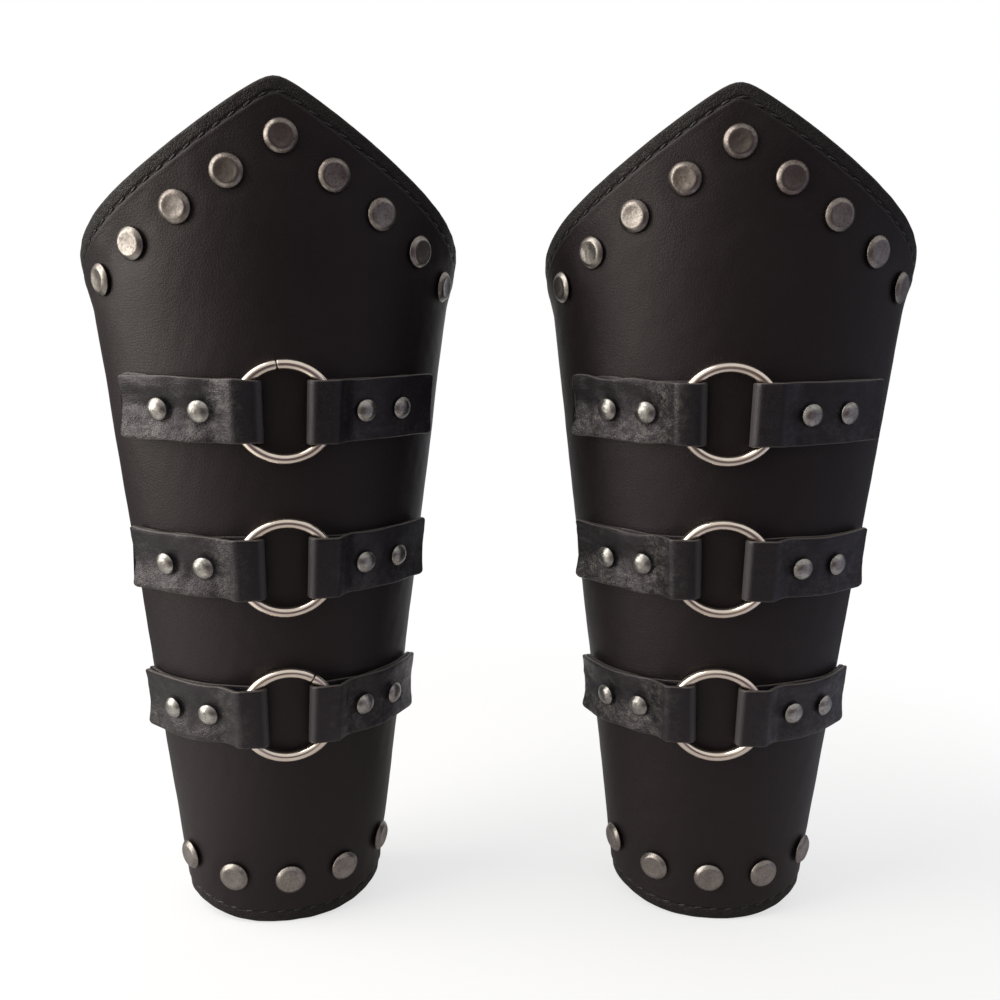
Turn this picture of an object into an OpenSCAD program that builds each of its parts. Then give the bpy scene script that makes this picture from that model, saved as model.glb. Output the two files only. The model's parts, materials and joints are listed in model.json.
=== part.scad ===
// Pair of tall leather bracers, each with a pointed front, three ring straps and a laced back.
// Each bracer is drawn around its own upright axis, front towards -Y, rim on the table.

/* [Oval shell] */
// Width of the wrist end at the table, outside the leather
wrist_w = 63; // [56:0.2:76]
// Depth of the wrist end at the table, outside the leather
wrist_d = 49; // [42:0.2:60]
// Width of the oval at the height of the peak
forearm_w = 127.2; // [112:0.2:140]
// Height of the peak above the table
peak_h = 262.3; // [240:0.2:280]
// Fall of the top edge on each side of the peak, in degrees
top_angle = 33; // [28:0.5:36]
// Rounding of the peak
peak_round = 4; // [1:0.5:10]
// Rounding of the corners beside the back opening
corner_round = 8; // [3:0.5:12]
// Rise of the arched rim at the sides of the wrist
wrist_arch = 5.4; // [0:0.2:9]
// Lean of that arch towards the back, where 1 is an even arch
arch_lean = 1.5; // [1:0.1:2]
// Width of the laced opening at the back
back_opening = 28; // [18:0.5:40]
// Thickness of the outer leather
leather_t = 2.4; // [1.8:0.1:3.2]
// Thickness of the lining
lining_t = 1; // [0.6:0.1:1.6]
// How far the lining stays inside the leather's edge
lining_inset = 1.2; // [0.6:0.1:3]

/* [Hem] */
// Distance of the stitch groove from the edge
hem_w = 4; // [3:0.25:6]
// Depth of the hem's face below the leather's face
hem_press = 0.4; // [0.1:0.05:0.6]
// Width of the stitch groove
groove_w = 1.4; // [0.8:0.1:2]
// Depth of the stitch groove below the hem's face
groove_depth = 0.35; // [0.1:0.05:0.5]
// Width of the rounded outer edge
edge_round = 1; // [0.4:0.1:1.4]

/* [Large rivets] */
// Diameter of the large rivet caps
cap_d = 10; // [8:0.25:12]
// Height of the large rivet caps
cap_h = 1.8; // [1.2:0.1:2.4]
// Height of the crown that the flat top of a large cap takes away
cap_flat = 1; // [0.2:0.1:1]
// Diameter of the dished centre of a large cap
dish_d = 7; // [4:0.25:7]
// Depth of the dished centre of a large cap
dish_depth = 0.35; // [0.1:0.05:0.6]
// Diameter of the large rivet backs inside
back_d = 8; // [6:0.25:9]
// Thickness of the large rivet backs
back_h = 1.3; // [1.2:0.1:2]
// Depth of the posts in their backs
post_grip = 0.9; // [0.4:0.1:0.9]
// Diameter of the large rivet posts
post_d = 3; // [2:0.1:4]
// Distance of the first rivet below the peak
peak_rivet_drop = 15.9; // [12:0.1:20]
// Distance between the rivets of the peak row, along the row
peak_rivet_pitch = 17.9; // [14:0.1:22]
// Number of peak rivets on each side of the first
peak_rivets_side = 4; // [3:1:6]
// Height of the front cuff rivet above the rim
cuff_rivet_h = 15.8; // [12:0.1:24]
// Distance between the cuff rivets around the wrist
cuff_rivet_pitch = 18.3; // [14:0.1:19]
// Number of cuff rivets on each side of the front one
cuff_rivets_side = 2; // [1:1:3]

/* [Ring straps] */
// Height of the upper strap's middle
upper_strap_z = 169.1; // [155:0.1:185]
// Height of the middle strap's middle
middle_strap_z = 121.6; // [105:0.1:135]
// Height of the lower strap's middle
lower_strap_z = 73.9; // [60:0.1:88]
// Width of the straps
strap_w = 19; // [15:0.25:20]
// Thickness of the strap leather
strap_t = 1.2; // [0.8:0.05:1.6]
// Distance of the strap ends from the front line
strap_reach = 50; // [44:0.25:54]
// Rise of a strap away from the front line, as a share of a stiff strip's rise on the cone
strap_rise = 0.5; // [0:0.05:1]
// How far the lower corner of a strap's end stands off the shell
end_stand = 1.8; // [0:0.1:2.4]
// Rounding of the strap corners
strap_corner = 2; // [0.5:0.25:4]
// Distance of the inner strap rivets from the front line
inner_rivet_s = 24; // [22.5:0.1:27]
// Distance of the outer strap rivets from the front line
outer_rivet_s = 36.6; // [34:0.1:40]
// Diameter of the strap rivet caps
small_cap_d = 7; // [5:0.25:8]
// Height of the strap rivet caps
small_cap_h = 1.9; // [1:0.1:2.5]
// Diameter of the strap rivet posts
small_post_d = 2.4; // [1.6:0.1:3]

/* [Rings] */
// Inner diameter of the rings
ring_bore = 25; // [23:0.1:28]
// Diameter of the ring wire
wire_d = 3.2; // [2.4:0.1:4]
// Width of the seam where the wire's ends meet
seam_w = 0.25; // [0.1:0.05:0.5]
// Depth of that seam
seam_depth = 0.2; // [0.1:0.05:0.4]

/* [Lacing eyelets] */
// Bore of the eyelets
eyelet_bore = 5; // [3:0.1:6]
// Wall of the eyelet barrels
eyelet_wall = 0.4; // [0.3:0.05:0.6]
// Diameter of the eyelet flanges
flange_d = 9.5; // [8:0.25:11]
// Thickness of the eyelet flanges
flange_t = 0.9; // [0.5:0.1:1.2]
// Thickness of the eyelet washers inside
washer_t = 0.6; // [0.4:0.1:1]
// Distance of the eyelets from the opening's edge
eyelet_inset = 10.5; // [9:0.25:13]
// Height of the lowest eyelet above the table
eyelet_first_z = 14; // [12:0.5:20]
// Distance between the eyelets
eyelet_pitch = 30; // [24:0.5:31]
// Number of eyelets on each edge
eyelet_count = 6; // [3:1:6]

/* [Clearances] */
// Gap between the leather and the lining
glue_gap = 0.1; // [0.05:0.01:0.2]
// Gap between a strap and the leather under it
strap_gap = 0.2; // [0.15:0.01:0.3]
// Gap between the two layers of a strap
layer_gap = 0.1; // [0.05:0.01:0.2]
// Gap all round a ring's wire inside its strap loops
ring_gap = 0.2; // [0.15:0.01:0.4]
// Gap under a cap, back, flange or washer
seat_gap = 0.15; // [0.12:0.01:0.3]
// Gap around a post or barrel in its hole
hole_gap = 0.1; // [0.05:0.01:0.2]

/* [Pair] */
// Distance between the two bracers' axes
pair_spacing = 147; // [140:0.5:180]
// Turn of the left bracer towards the middle, in degrees
left_turn = 12.6; // [0:0.1:20]
// Turn of the right bracer towards the middle, in degrees
right_turn = 9.1; // [0:0.1:20]
// How far both axes stand behind the pair's middle
pair_back = 4; // [0:0.5:10]

/* [Hidden] */

LEATHER = "#2b2826";
STRAP_LEATHER = "#262424";
LINING = "#3a3634";
GUNMETAL = "#8d8984";
PEWTER = "#b9b6b0";
NICKEL = "#d6cbc4";

$fn = 96;
far = 400;
cut_over = 1;
post_root = 0.5;
punch_sides = 12;

// Columns of the shell, its rows between the hems, and how an edge's height is found
shell_columns = 34;
middle_rows = 2;
arc_steps = 90;
settle_tries = 12;
slope_reach = 0.5;
stretch_limit = 1.8;

// Rows of a strap: on its flat stretches, round its fold and over the wire, in degrees
plain_rows = 4;
fold_step = 20;
wire_step = 20;
leave_angle = 30;
slide_rows = 3;

// Share of the end's curl that reaches a strap's upper corner
top_curl = 0.35;

// Where the wire's ends meet on the upper, middle and lower ring, in degrees from the top
LEFT_SEAMS = [9, 82, -32];
RIGHT_SEAMS = [85, -80, 88];

strap_heights = [upper_strap_z, middle_strap_z, lower_strap_z];
oval = wrist_d / wrist_w;
flare = (forearm_w - wrist_w) / 2 / peak_h;
cone_below = wrist_w / 2 / flare;
front_slope = atan(oval * flare);
wall_t = leather_t + glue_gap + lining_t;
barrel_d = eyelet_bore + 2 * eyelet_wall;
strap_top = strap_gap + 2 * strap_t + layer_gap;
ring_r = (ring_bore + wire_d) / 2;

// Vector helpers
function unit(v) = v / norm(v);
function mix(a, b, share) = a + (b - a) * share;
function reversed(list) = [for (i = [len(list) - 1 : -1 : 0]) list[i]];

// Arc length against angle, on an oval of half width 1
function arc_piece(i) =
    let (mid = (i + 0.5) * 180 / arc_steps)
    norm([cos(mid), oval * sin(mid)]) * PI / arc_steps;
ARC = [for (i = 0, s = 0; i <= arc_steps; s = s + arc_piece(i), i = i + 1) [s, i * 180 / arc_steps]];
half_round = ARC[arc_steps][0];

// The cone: s runs around the shell from the front line, z is the height, out is the distance outside
function half_w(z) = wrist_w / 2 + flare * z;
function angle_at(s, z) = sign(s) * lookup(abs(s) / half_w(z), ARC);
function outward(angle) = unit([oval * sin(angle), -cos(angle), -oval * flare]);
function upward(angle) = [flare * sin(angle), -oval * flare * cos(angle), 1];
function on_cone(s, z, out) =
    let (angle = angle_at(s, z), a = half_w(z))
    [a * sin(angle), -oval * a * cos(angle), z] + out * outward(angle);
function bend_radius(s, z) =
    let (angle = angle_at(s, z), a = half_w(z))
    a * pow(norm([cos(angle), oval * sin(angle)]), 3) / oval;
function edge_s(z) = half_w(z) * half_round - back_opening / 2;

// Outline of the shell: the peaked top edge and the arched rim
function corner_rise(s, z) =
    let (from_edge = edge_s(z) - abs(s))
    corner_round * pow(max(0, 1 - from_edge / corner_round), 2);
function top_z(s, z) =
    peak_h + tan(top_angle) * (peak_round - norm([s, peak_round])) - corner_rise(s, z);
function rim_z(s, z) =
    let (foot_s = edge_s(0) - corner_round)
    wrist_arch * pow(sin(180 * pow(abs(s) / foot_s, arch_lean)), 2) + corner_rise(s, z);

// A column of the shell is [share, inset]: it runs up at share of the way to the inset edge
function column_s(column, z) = column[0] * (edge_s(z) - column[1]);
function column_top(column, z, tries) =
    tries == 0 ? z : column_top(column, top_z(column_s(column, z), z), tries - 1);
function column_rim(column, z, tries) =
    tries == 0 ? z : column_rim(column, rim_z(column_s(column, z), z), tries - 1);
function stretch(rise) = min(norm([rise / 2 / slope_reach, 1]), stretch_limit);

// Rows and columns keep their distance from the edge, so a hem has the same width all round
function columns(margins) = concat(
    [for (m = margins) [-1, m]],
    [for (i = [1 : shell_columns - 1]) [2 * i / shell_columns - 1, margins[len(margins) - 1]]],
    [for (m = reversed(margins)) [1, m]]
);
function rows(column, margins) =
    let (
        low = column_rim(column, 0, settle_tries),
        high = column_top(column, peak_h, settle_tries),
        low_s = column_s(column, low),
        high_s = column_s(column, high),
        low_stretch = stretch(rim_z(low_s + slope_reach, low) - rim_z(low_s - slope_reach, low)),
        high_stretch = stretch(top_z(high_s + slope_reach, high) - top_z(high_s - slope_reach, high)),
        inner = margins[len(margins) - 1],
        first = low + inner * low_stretch,
        last = high - inner * high_stretch
    )
    concat(
        [for (m = margins) [low + m * low_stretch, m]],
        [for (i = [1 : middle_rows]) [mix(first, last, i / (middle_rows + 1)), inner]],
        [for (m = reversed(margins)) [high - m * high_stretch, m]]
    );

// Depth of the pressed hem under the leather's face, by distance from the edge
HEM = [
    [0, hem_press + edge_round],
    [edge_round, hem_press],
    [hem_w - groove_w / 2, hem_press],
    [hem_w, hem_press + groove_depth],
    [hem_w + groove_w / 2, 0],
];
hem_margins = [for (point = HEM) point[0]];
lining_margins = [lining_inset, hem_w + groove_w / 2];

// Faces of a closed sheet of nc columns by nr rows, outer points first, then inner points
function quad(a, b, c, d) = [[a, b, c], [a, c, d]];
function sheet_faces(nc, nr) =
    let (inside = nc * nr)
    [
        for (i = [0 : nc - 2], j = [0 : nr - 2], side = [0, 1])
            let (a = i * nr + j, b = a + 1, c = b + nr, d = a + nr)
            for (face = side == 0 ? quad(a, b, c, d)
                                  : quad(a + inside, d + inside, c + inside, b + inside)) face,
        for (i = [0 : nc - 2])
            let (a = i * nr, b = a + nr, top = nr - 1)
            for (face = concat(quad(a, b, b + inside, a + inside),
                               quad(a + top, a + top + inside, b + top + inside, b + top))) face,
        for (j = [0 : nr - 2])
            let (a = j, b = j + 1, last = (nc - 1) * nr)
            for (face = concat(quad(a, a + inside, b + inside, b),
                               quad(a + last, b + last, b + last + inside, a + last + inside))) face,
    ];

// A curved sheet between two distances outside the cone, with its outer face pressed at the hem
module sheet(outer_out, inner_out, margins, press) {
    grid = [
        for (column = columns(margins)) [
            for (row = rows(column, margins))
                let (side_margin = abs(column[0]) == 1 ? column[1] : far)
                [column_s(column, row[0]), row[0], lookup(min(side_margin, row[1]), press)]
        ]
    ];
    outer = [for (line = grid) for (p = line) on_cone(p[0], p[1], outer_out - p[2])];
    inner = [for (line = grid) for (p = line) on_cone(p[0], p[1], inner_out)];
    polyhedron(concat(outer, inner), sheet_faces(len(grid), len(grid[0])), convexity = 6);
}

// Stands its children on the cone, with their Z pointing straight out
module on_shell(s, z, out) {
    n = outward(angle_at(s, z));
    translate(on_cone(s, z, out))
        rotate([0, acos(n[2]), atan2(n[1], n[0])])
            children();
}

// Places of all fasteners, as [s, z]
row_step = peak_rivet_pitch * cos(top_angle);
PEAK_ROW = [for (k = [-peak_rivets_side : peak_rivets_side])
    [k * row_step, peak_h - peak_rivet_drop - abs(k) * row_step * tan(top_angle)]];
CUFF_ROW = [for (k = [-cuff_rivets_side : cuff_rivets_side])
    let (s = k * cuff_rivet_pitch) [s, cuff_rivet_h + rim_z(s, 0)]];
STRAP_RIVETS = [for (z = strap_heights, side = [-1, 1], s = [inner_rivet_s, outer_rivet_s])
    [side * s, z + strap_lift(s, z)]];
EYELETS = [for (side = [-1, 1], k = [0 : eyelet_count - 1])
    let (z = eyelet_first_z + k * eyelet_pitch) [side * (edge_s(z) - eyelet_inset), z]];

// A stiff strip laid on the cone climbs away from the front line, and soft leather less so
function strap_lift(s, z) = strap_rise * s * s / 2 / (z + cone_below);

module wall_holes() {
    for (p = concat(PEAK_ROW, CUFF_ROW))
        on_shell(p[0], p[1], 0)
            cylinder(d = post_d + 2 * hole_gap, h = 3 * wall_t, center = true);
    for (p = STRAP_RIVETS)
        on_shell(p[0], p[1], 0)
            cylinder(d = small_post_d + 2 * hole_gap, h = 3 * wall_t, center = true);
    for (p = EYELETS)
        on_shell(p[0], p[1], 0)
            cylinder(d = (barrel_d + 2 * hole_gap) / cos(180 / punch_sides), h = 3 * wall_t,
                     center = true, $fn = punch_sides);
}

module outer_shell()
    color(LEATHER)
    difference() {
        sheet(0, -leather_t, hem_margins, HEM);
        wall_holes();
    }

module lining()
    color(LINING)
    difference() {
        sheet(-leather_t - glue_gap, -wall_t, lining_margins, [[0, 0]]);
        wall_holes();
    }

// Dome of the given diameter and height, base at z = 0
module dome(d, h) {
    r = (d * d / 4 + h * h) / 2 / h;
    intersection() {
        translate([0, 0, h - r]) sphere(r);
        cylinder(d = d, h = h);
    }
}

// Large cap: a flattened dome with a dished centre
module large_cap() {
    dish_r = (dish_d * dish_d / 4 + dish_depth * dish_depth) / 2 / dish_depth;
    difference() {
        intersection() {
            dome(cap_d, cap_h + cap_flat);
            cylinder(d = cap_d, h = cap_h);
        }
        translate([0, 0, cap_h + dish_r - dish_depth]) sphere(dish_r);
    }
}

// A flat disc inside the curved wall stands off by the wall's hollow under it, and by its flats
function hollow(d, s, z) =
    let (column_w = 2 * edge_s(z) / shell_columns)
    (d * d + column_w * column_w) / 8 / (bend_radius(s, z) - wall_t);
function back_out(s, z) = -wall_t - seat_gap - hollow(back_d, s, z);
function washer_out(s, z) = -wall_t - seat_gap - hollow(flange_d, s, z) - washer_t;

// Caps whose posts reach through the wall into their backs
module rivet_caps(places, d, seat_out)
    for (p = places) {
        bottom = back_out(p[0], p[1]) - post_grip - seat_out;
        on_shell(p[0], p[1], seat_out) {
            children();
            translate([0, 0, bottom]) cylinder(d = d, h = post_root - bottom);
        }
    }

// Domed backs inside, each with a socket for its post
module rivet_backs(places, d)
    for (p = places)
        on_shell(p[0], p[1], back_out(p[0], p[1]))
            rotate([180, 0, 0])
                difference() {
                    dome(back_d, back_h);
                    translate([0, 0, -cut_over])
                        cylinder(d = d + 2 * hole_gap, h = cut_over + post_grip + hole_gap);
                }

module peak_rivet_caps()
    color(GUNMETAL) rivet_caps(PEAK_ROW, post_d, seat_gap) large_cap();

module peak_rivet_backs()
    color(GUNMETAL) rivet_backs(PEAK_ROW, post_d);

module cuff_rivet_caps()
    color(GUNMETAL) rivet_caps(CUFF_ROW, post_d, seat_gap) large_cap();

module cuff_rivet_backs()
    color(GUNMETAL) rivet_backs(CUFF_ROW, post_d);

module strap_rivet_caps()
    color(PEWTER) rivet_caps(STRAP_RIVETS, small_post_d, strap_top + seat_gap)
        dome(small_cap_d, small_cap_h);

module strap_rivet_backs()
    color(PEWTER) rivet_backs(STRAP_RIVETS, small_post_d);

// Eyelet: a barrel with a domed flange outside and a lip, two walls wide, over its washer inside
module eyelet(s, z) {
    lip_bottom = washer_out(s, z) - seat_gap - eyelet_wall;
    barrel_top = seat_gap + flange_t / 2;
    on_shell(s, z, 0)
        difference() {
            union() {
                translate([0, 0, seat_gap]) dome(flange_d, flange_t);
                translate([0, 0, lip_bottom]) cylinder(d = barrel_d, h = barrel_top - lip_bottom);
                translate([0, 0, lip_bottom]) cylinder(d = barrel_d + 4 * eyelet_wall, h = eyelet_wall);
            }
            translate([0, 0, lip_bottom - cut_over]) cylinder(d = eyelet_bore, h = far);
        }
}

module eyelets()
    color(GUNMETAL) for (p = EYELETS) eyelet(p[0], p[1]);

module eyelet_washers()
    color(GUNMETAL)
    for (p = EYELETS)
        on_shell(p[0], p[1], washer_out(p[0], p[1]))
            difference() {
                cylinder(d = flange_d, h = washer_t);
                translate([0, 0, -cut_over]) cylinder(d = barrel_d + 2 * hole_gap, h = far);
            }

// Strap section at one height: [x, out] from the front line, with out measured straight forward
function strap_flat(s, z, out) =
    let (angle = angle_at(s, z), a = half_w(z), n = unit([oval * sin(angle), cos(angle)]))
    [a * sin(angle) + out * n[0], oval * a * (cos(angle) - 1) + out * n[1], s];
function bezier(a, b, c, u) = mix(mix(a, b, u), mix(b, c, u), u);

// A fold's inner face clears the wire where it enters, above all at its upper corner, which leans out
// with the cone, and the wire rests over the back layer there
function fold_inside(z) =
    let (
        wire_x = sqrt(pow(ring_bore / 2, 2) - pow(strap_w / 2 + strap_lift(ring_r, z), 2)),
        lean = strap_w / 2 * upward(angle_at(wire_x + wire_d / 2, z))[0]
    )
    wire_x - lean - ring_gap;
function ring_h(z) =
    strap_flat(fold_inside(z) + wire_d / 2, z, strap_gap + strap_t)[1] + ring_gap + wire_d / 2;

// Ring: a bent wire whose two ends meet in a fine seam, seam_turn degrees from the top
module ring(z, seam_turn) {
    seam_angle = seam_w / ring_r * 180 / PI;
    color(NICKEL)
    translate([0, -oval * half_w(z) - ring_h(z), z])
        rotate([90 + front_slope, 0, 0])
            rotate([0, 0, 90 + seam_turn + seam_angle / 2]) {
                rotate_extrude(angle = 360 - seam_angle) translate([ring_r, 0]) circle(d = wire_d);
                rotate_extrude() translate([ring_r, 0]) circle(d = wire_d - 2 * seam_depth);
            }
}

// Middle line of a strap: out along the back layer's return, round the wire and back to its end
function strap_path(z) =
    let (
        low = strap_gap + strap_t / 2,
        high = strap_top - strap_t / 2,
        over = wire_d / 2 + ring_gap + strap_t / 2,
        bottom = strap_flat(fold_inside(z) + wire_d / 2, z, low)[1],
        top = ring_h(z) + over,
        fold_r = (top - bottom) / 2,
        fold_x = fold_inside(z) + fold_r - strap_t / 2,
        shut_s = inner_rivet_s - small_cap_d / 2,
        lie_s = fold_x + fold_r / 2,
        corner = [0, strap_corner / 4, strap_corner],
        plain = [for (i = [0 : plain_rows]) mix(shut_s, strap_reach - 2 * strap_corner, i / plain_rows)],
        slide = [ring_r + over * cos(leave_angle), ring_h(z) + over * sin(leave_angle), ring_r],
        land = strap_flat(shut_s, z, high),
        near = strap_flat(shut_s - strap_t, z, high)
    )
    concat(
        [for (c = corner) strap_flat(strap_reach - c, z, low)],
        [for (s = reversed(plain)) strap_flat(s, z, low)],
        [strap_flat((lie_s + shut_s) / 2, z, low), strap_flat(lie_s, z, low)],
        [for (turn = [-90 : -fold_step : -270])
            [fold_x + fold_r * cos(turn), (top + bottom) / 2 + fold_r * sin(turn), fold_x]],
        [for (turn = [90 : -wire_step : leave_angle + wire_step])
            [ring_r + over * cos(turn), ring_h(z) + over * sin(turn), ring_r]],
        [for (i = [0 : slide_rows - 1]) bezier(slide, near, land, i / slide_rows)],
        [for (s = plain) strap_flat(s, z, high)],
        [for (c = reversed(corner)) strap_flat(strap_reach - c, z, high)]
    );

// Past its outer rivet a strap curls away from the shell
function end_curl(s) =
    let (held_s = outer_rivet_s + small_cap_d / 2)
    end_stand * pow(max(0, s - held_s) / (strap_reach - held_s), 2);

// Half width of the strap, drawn in at the rounded corners of its end
function strap_half(s) =
    let (e = min(strap_reach - s, strap_corner))
    strap_w / 2 - strap_corner + sqrt(max(0, pow(strap_corner, 2) - pow(strap_corner - e, 2)));

module strap_half_body(z) {
    path = strap_path(z);
    count = len(path);
    points = [
        for (i = [0 : count - 1])
            let (
                here = path[i],
                before = path[max(i - 1, 0)],
                after = path[min(i + 1, count - 1)],
                along = unit([after[0] - before[0], after[1] - before[1]]),
                side = [-along[1], along[0]] * strap_t / 2,
                angle = angle_at(here[2], z),
                lift = strap_lift(here[2], z),
                reach = strap_half(here[2])
            )
            for (corner = [[1, -1], [1, 1], [-1, 1], [-1, -1]])
                [here[0] + corner[0] * side[0], -oval * half_w(z) - here[1] - corner[0] * side[1], z]
                    + (lift + corner[1] * reach) * upward(angle)
                    + end_curl(here[2]) * (corner[1] < 0 ? 1 : top_curl) * outward(angle)
    ];
    last = 4 * (count - 1);
    faces = [
        for (i = [0 : count - 2], k = [0 : 3])
            let (a = 4 * i + k, b = 4 * i + (k + 1) % 4)
            for (face = quad(a, b, b + 4, a + 4)) face,
        for (face = concat(quad(3, 2, 1, 0), quad(last, last + 1, last + 2, last + 3))) face,
    ];
    polyhedron(points, faces, convexity = 6);
}

// One half of a strap, folded through the ring and held by two rivets
module strap(z, side)
    color(STRAP_LEATHER)
    difference() {
        mirror([side < 0 ? 1 : 0, 0, 0]) strap_half_body(z);
        for (s = [inner_rivet_s, outer_rivet_s])
            on_shell(side * s, z + strap_lift(s, z), 0)
                cylinder(d = small_post_d + 2 * hole_gap, h = 3 * strap_top, center = true);
    }

module at_left()
    translate([-pair_spacing / 2, pair_back, 0]) rotate([0, 0, left_turn]) children();

module at_right()
    translate([pair_spacing / 2, pair_back, 0]) rotate([0, 0, -right_turn]) children();

at_left() outer_shell();  // left_outer_shell
at_left() lining();  // left_lining
at_left() peak_rivet_caps();  // left_peak_rivet_caps
at_left() peak_rivet_backs();  // left_peak_rivet_backs
at_left() cuff_rivet_caps();  // left_cuff_rivet_caps
at_left() cuff_rivet_backs();  // left_cuff_rivet_backs
at_left() strap(upper_strap_z, -1);  // left_strap_upper_left
at_left() strap(upper_strap_z, 1);  // left_strap_upper_right
at_left() strap(middle_strap_z, -1);  // left_strap_middle_left
at_left() strap(middle_strap_z, 1);  // left_strap_middle_right
at_left() strap(lower_strap_z, -1);  // left_strap_lower_left
at_left() strap(lower_strap_z, 1);  // left_strap_lower_right
at_left() strap_rivet_caps();  // left_strap_rivet_caps
at_left() strap_rivet_backs();  // left_strap_rivet_backs
at_left() ring(upper_strap_z, LEFT_SEAMS[0]);  // left_ring_upper
at_left() ring(middle_strap_z, LEFT_SEAMS[1]);  // left_ring_middle
at_left() ring(lower_strap_z, LEFT_SEAMS[2]);  // left_ring_lower
at_left() eyelets();  // left_eyelets
at_left() eyelet_washers();  // left_eyelet_washers
at_right() outer_shell();  // right_outer_shell
at_right() lining();  // right_lining
at_right() peak_rivet_caps();  // right_peak_rivet_caps
at_right() peak_rivet_backs();  // right_peak_rivet_backs
at_right() cuff_rivet_caps();  // right_cuff_rivet_caps
at_right() cuff_rivet_backs();  // right_cuff_rivet_backs
at_right() strap(upper_strap_z, -1);  // right_strap_upper_left
at_right() strap(upper_strap_z, 1);  // right_strap_upper_right
at_right() strap(middle_strap_z, -1);  // right_strap_middle_left
at_right() strap(middle_strap_z, 1);  // right_strap_middle_right
at_right() strap(lower_strap_z, -1);  // right_strap_lower_left
at_right() strap(lower_strap_z, 1);  // right_strap_lower_right
at_right() strap_rivet_caps();  // right_strap_rivet_caps
at_right() strap_rivet_backs();  // right_strap_rivet_backs
at_right() ring(upper_strap_z, RIGHT_SEAMS[0]);  // right_ring_upper
at_right() ring(middle_strap_z, RIGHT_SEAMS[1]);  // right_ring_middle
at_right() ring(lower_strap_z, RIGHT_SEAMS[2]);  // right_ring_lower
at_right() eyelets();  // right_eyelets
at_right() eyelet_washers();  // right_eyelet_washers
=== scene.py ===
"""Finish and fine forms of a pair of tall leather bracers, in a plain pale studio. Sizes are in metres."""
import json
import math

import bpy
import numpy as np
from mathutils import Matrix, Vector


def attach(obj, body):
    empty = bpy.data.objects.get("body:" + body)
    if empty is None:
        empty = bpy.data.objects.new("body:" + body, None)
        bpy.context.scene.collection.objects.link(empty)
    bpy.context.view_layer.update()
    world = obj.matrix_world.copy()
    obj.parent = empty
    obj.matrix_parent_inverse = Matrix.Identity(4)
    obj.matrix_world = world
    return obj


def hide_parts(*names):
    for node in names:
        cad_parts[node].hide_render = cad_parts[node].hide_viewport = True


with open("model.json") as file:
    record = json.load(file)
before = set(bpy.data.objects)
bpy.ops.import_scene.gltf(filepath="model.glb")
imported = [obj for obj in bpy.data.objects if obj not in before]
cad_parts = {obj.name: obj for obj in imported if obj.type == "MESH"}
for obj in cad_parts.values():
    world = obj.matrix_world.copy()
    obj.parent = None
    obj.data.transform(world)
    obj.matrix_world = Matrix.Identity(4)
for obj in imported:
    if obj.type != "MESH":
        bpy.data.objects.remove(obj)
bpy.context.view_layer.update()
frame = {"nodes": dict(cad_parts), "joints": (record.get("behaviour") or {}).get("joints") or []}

SIDES = ("left", "right")
ROWS = ("upper", "middle", "lower")
HALVES = ("left", "right")

# Sizes of the shell: an upright oval cone, cut to a peak above and to an arch below
WRIST_W = 0.063
WRIST_D = 0.049
FOREARM_W = 0.1272
PEAK_H = 0.2623
TOP_ANGLE = math.radians(33)
TOP_SLOPE = math.tan(TOP_ANGLE)
PEAK_ROUND = 0.004
CORNER_ROUND = 0.008
WRIST_ARCH = 0.0054
ARCH_LEAN = 1.5
BACK_OPENING = 0.028
LEATHER_T = 0.0024
GLUE_GAP = 0.0001
LINING_T = 0.001
LINING_INSET = 0.0012
WALL_T = LEATHER_T + GLUE_GAP + LINING_T

# Unevenness of handwork: each peak leans a little, and the top edge swells out beside the chevron's ends,
# from one pair of distances round the shell to the other
PEAK_LEAN = {"left": 0.0013, "right": 0.0007}
LEAN_REACH = 0.03
CORNER_SWELL = 0.0017
SWELL_START = (0.030, 0.062)
SWELL_END = (0.085, 0.115)
SWELL_DROP = 0.019

# Soft waves as (length, height), how far they may rise or sink, and dents round rivets as (depth, reach)
SHELL_WAVES = ((0.055, 0.00022), (0.02, 0.00005))
SHELL_RISE = 0.00008
HEM_WAVES = ((0.007, 0.00006),)
HEM_WAVES_END = (0.004, 0.012)
LINING_WAVES = ((0.03, 0.0001), (0.009, 0.00005))
LINING_SINK = 0.00004
SHELL_DENT = (0.00028, 0.0045)
STRAP_DENT = (0.00038, 0.0036)
DENT_START = 0.8

# Sizes of the hem along every edge of the shell
HEM_W = 0.004
HEM_PRESS = 0.00028
GROOVE_W = 0.0014
GROOVE_DEPTH = 0.0003
GROOVE_FLAT = 0.2
EDGE_ROUND = 0.001
LIP_H = 0.00006
LIP_W = 0.0012
INNER_ROUND_H = 0.0004
INNER_ROUND_W = 0.0005

# The lining rises under the seam and is thinned along its edge
LINING_SEAM_H = 0.00022
LINING_SEAM_W = 0.0007
LINING_THIN_H = 0.0004
LINING_THIN_W = 0.0009

# Grids of the two sheets: distances of their outer lines from the edge, then columns and rows between these
HEM_MARGINS = np.array([
    0, 0.1, 0.25, 0.45, 0.7, 1, 1.6, 2.3, 2.9, 3.3, 3.55, 3.8, 4, 4.2, 4.45, 4.7, 5, 5.3, 5.6, 6, 7, 8.5]) / 1000
SHELL_GRID = (168, 156)
LINING_MARGINS = LINING_INSET + np.array([0, 0.15, 0.4, 0.9, 1.5, 2, 2.4, 2.8, 3.2, 3.6, 4.2, 5.5]) / 1000
LINING_GRID = (110, 96)
STITCH_GRID = (240, 60)
EDGE_ROUNDS = 20
SLOPE_STEP = 0.0005
MAX_STRETCH = 1.8

# Sizes of the thread
STITCH_PITCH = 0.0052
STITCH_LENGTH = 0.003
THREAD_W = 0.0007
THREAD_H = 0.00065
THREAD_STAND = 0.3
THREAD_SINK = 0.0001
STITCH_SLANT = math.radians(9)

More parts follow.
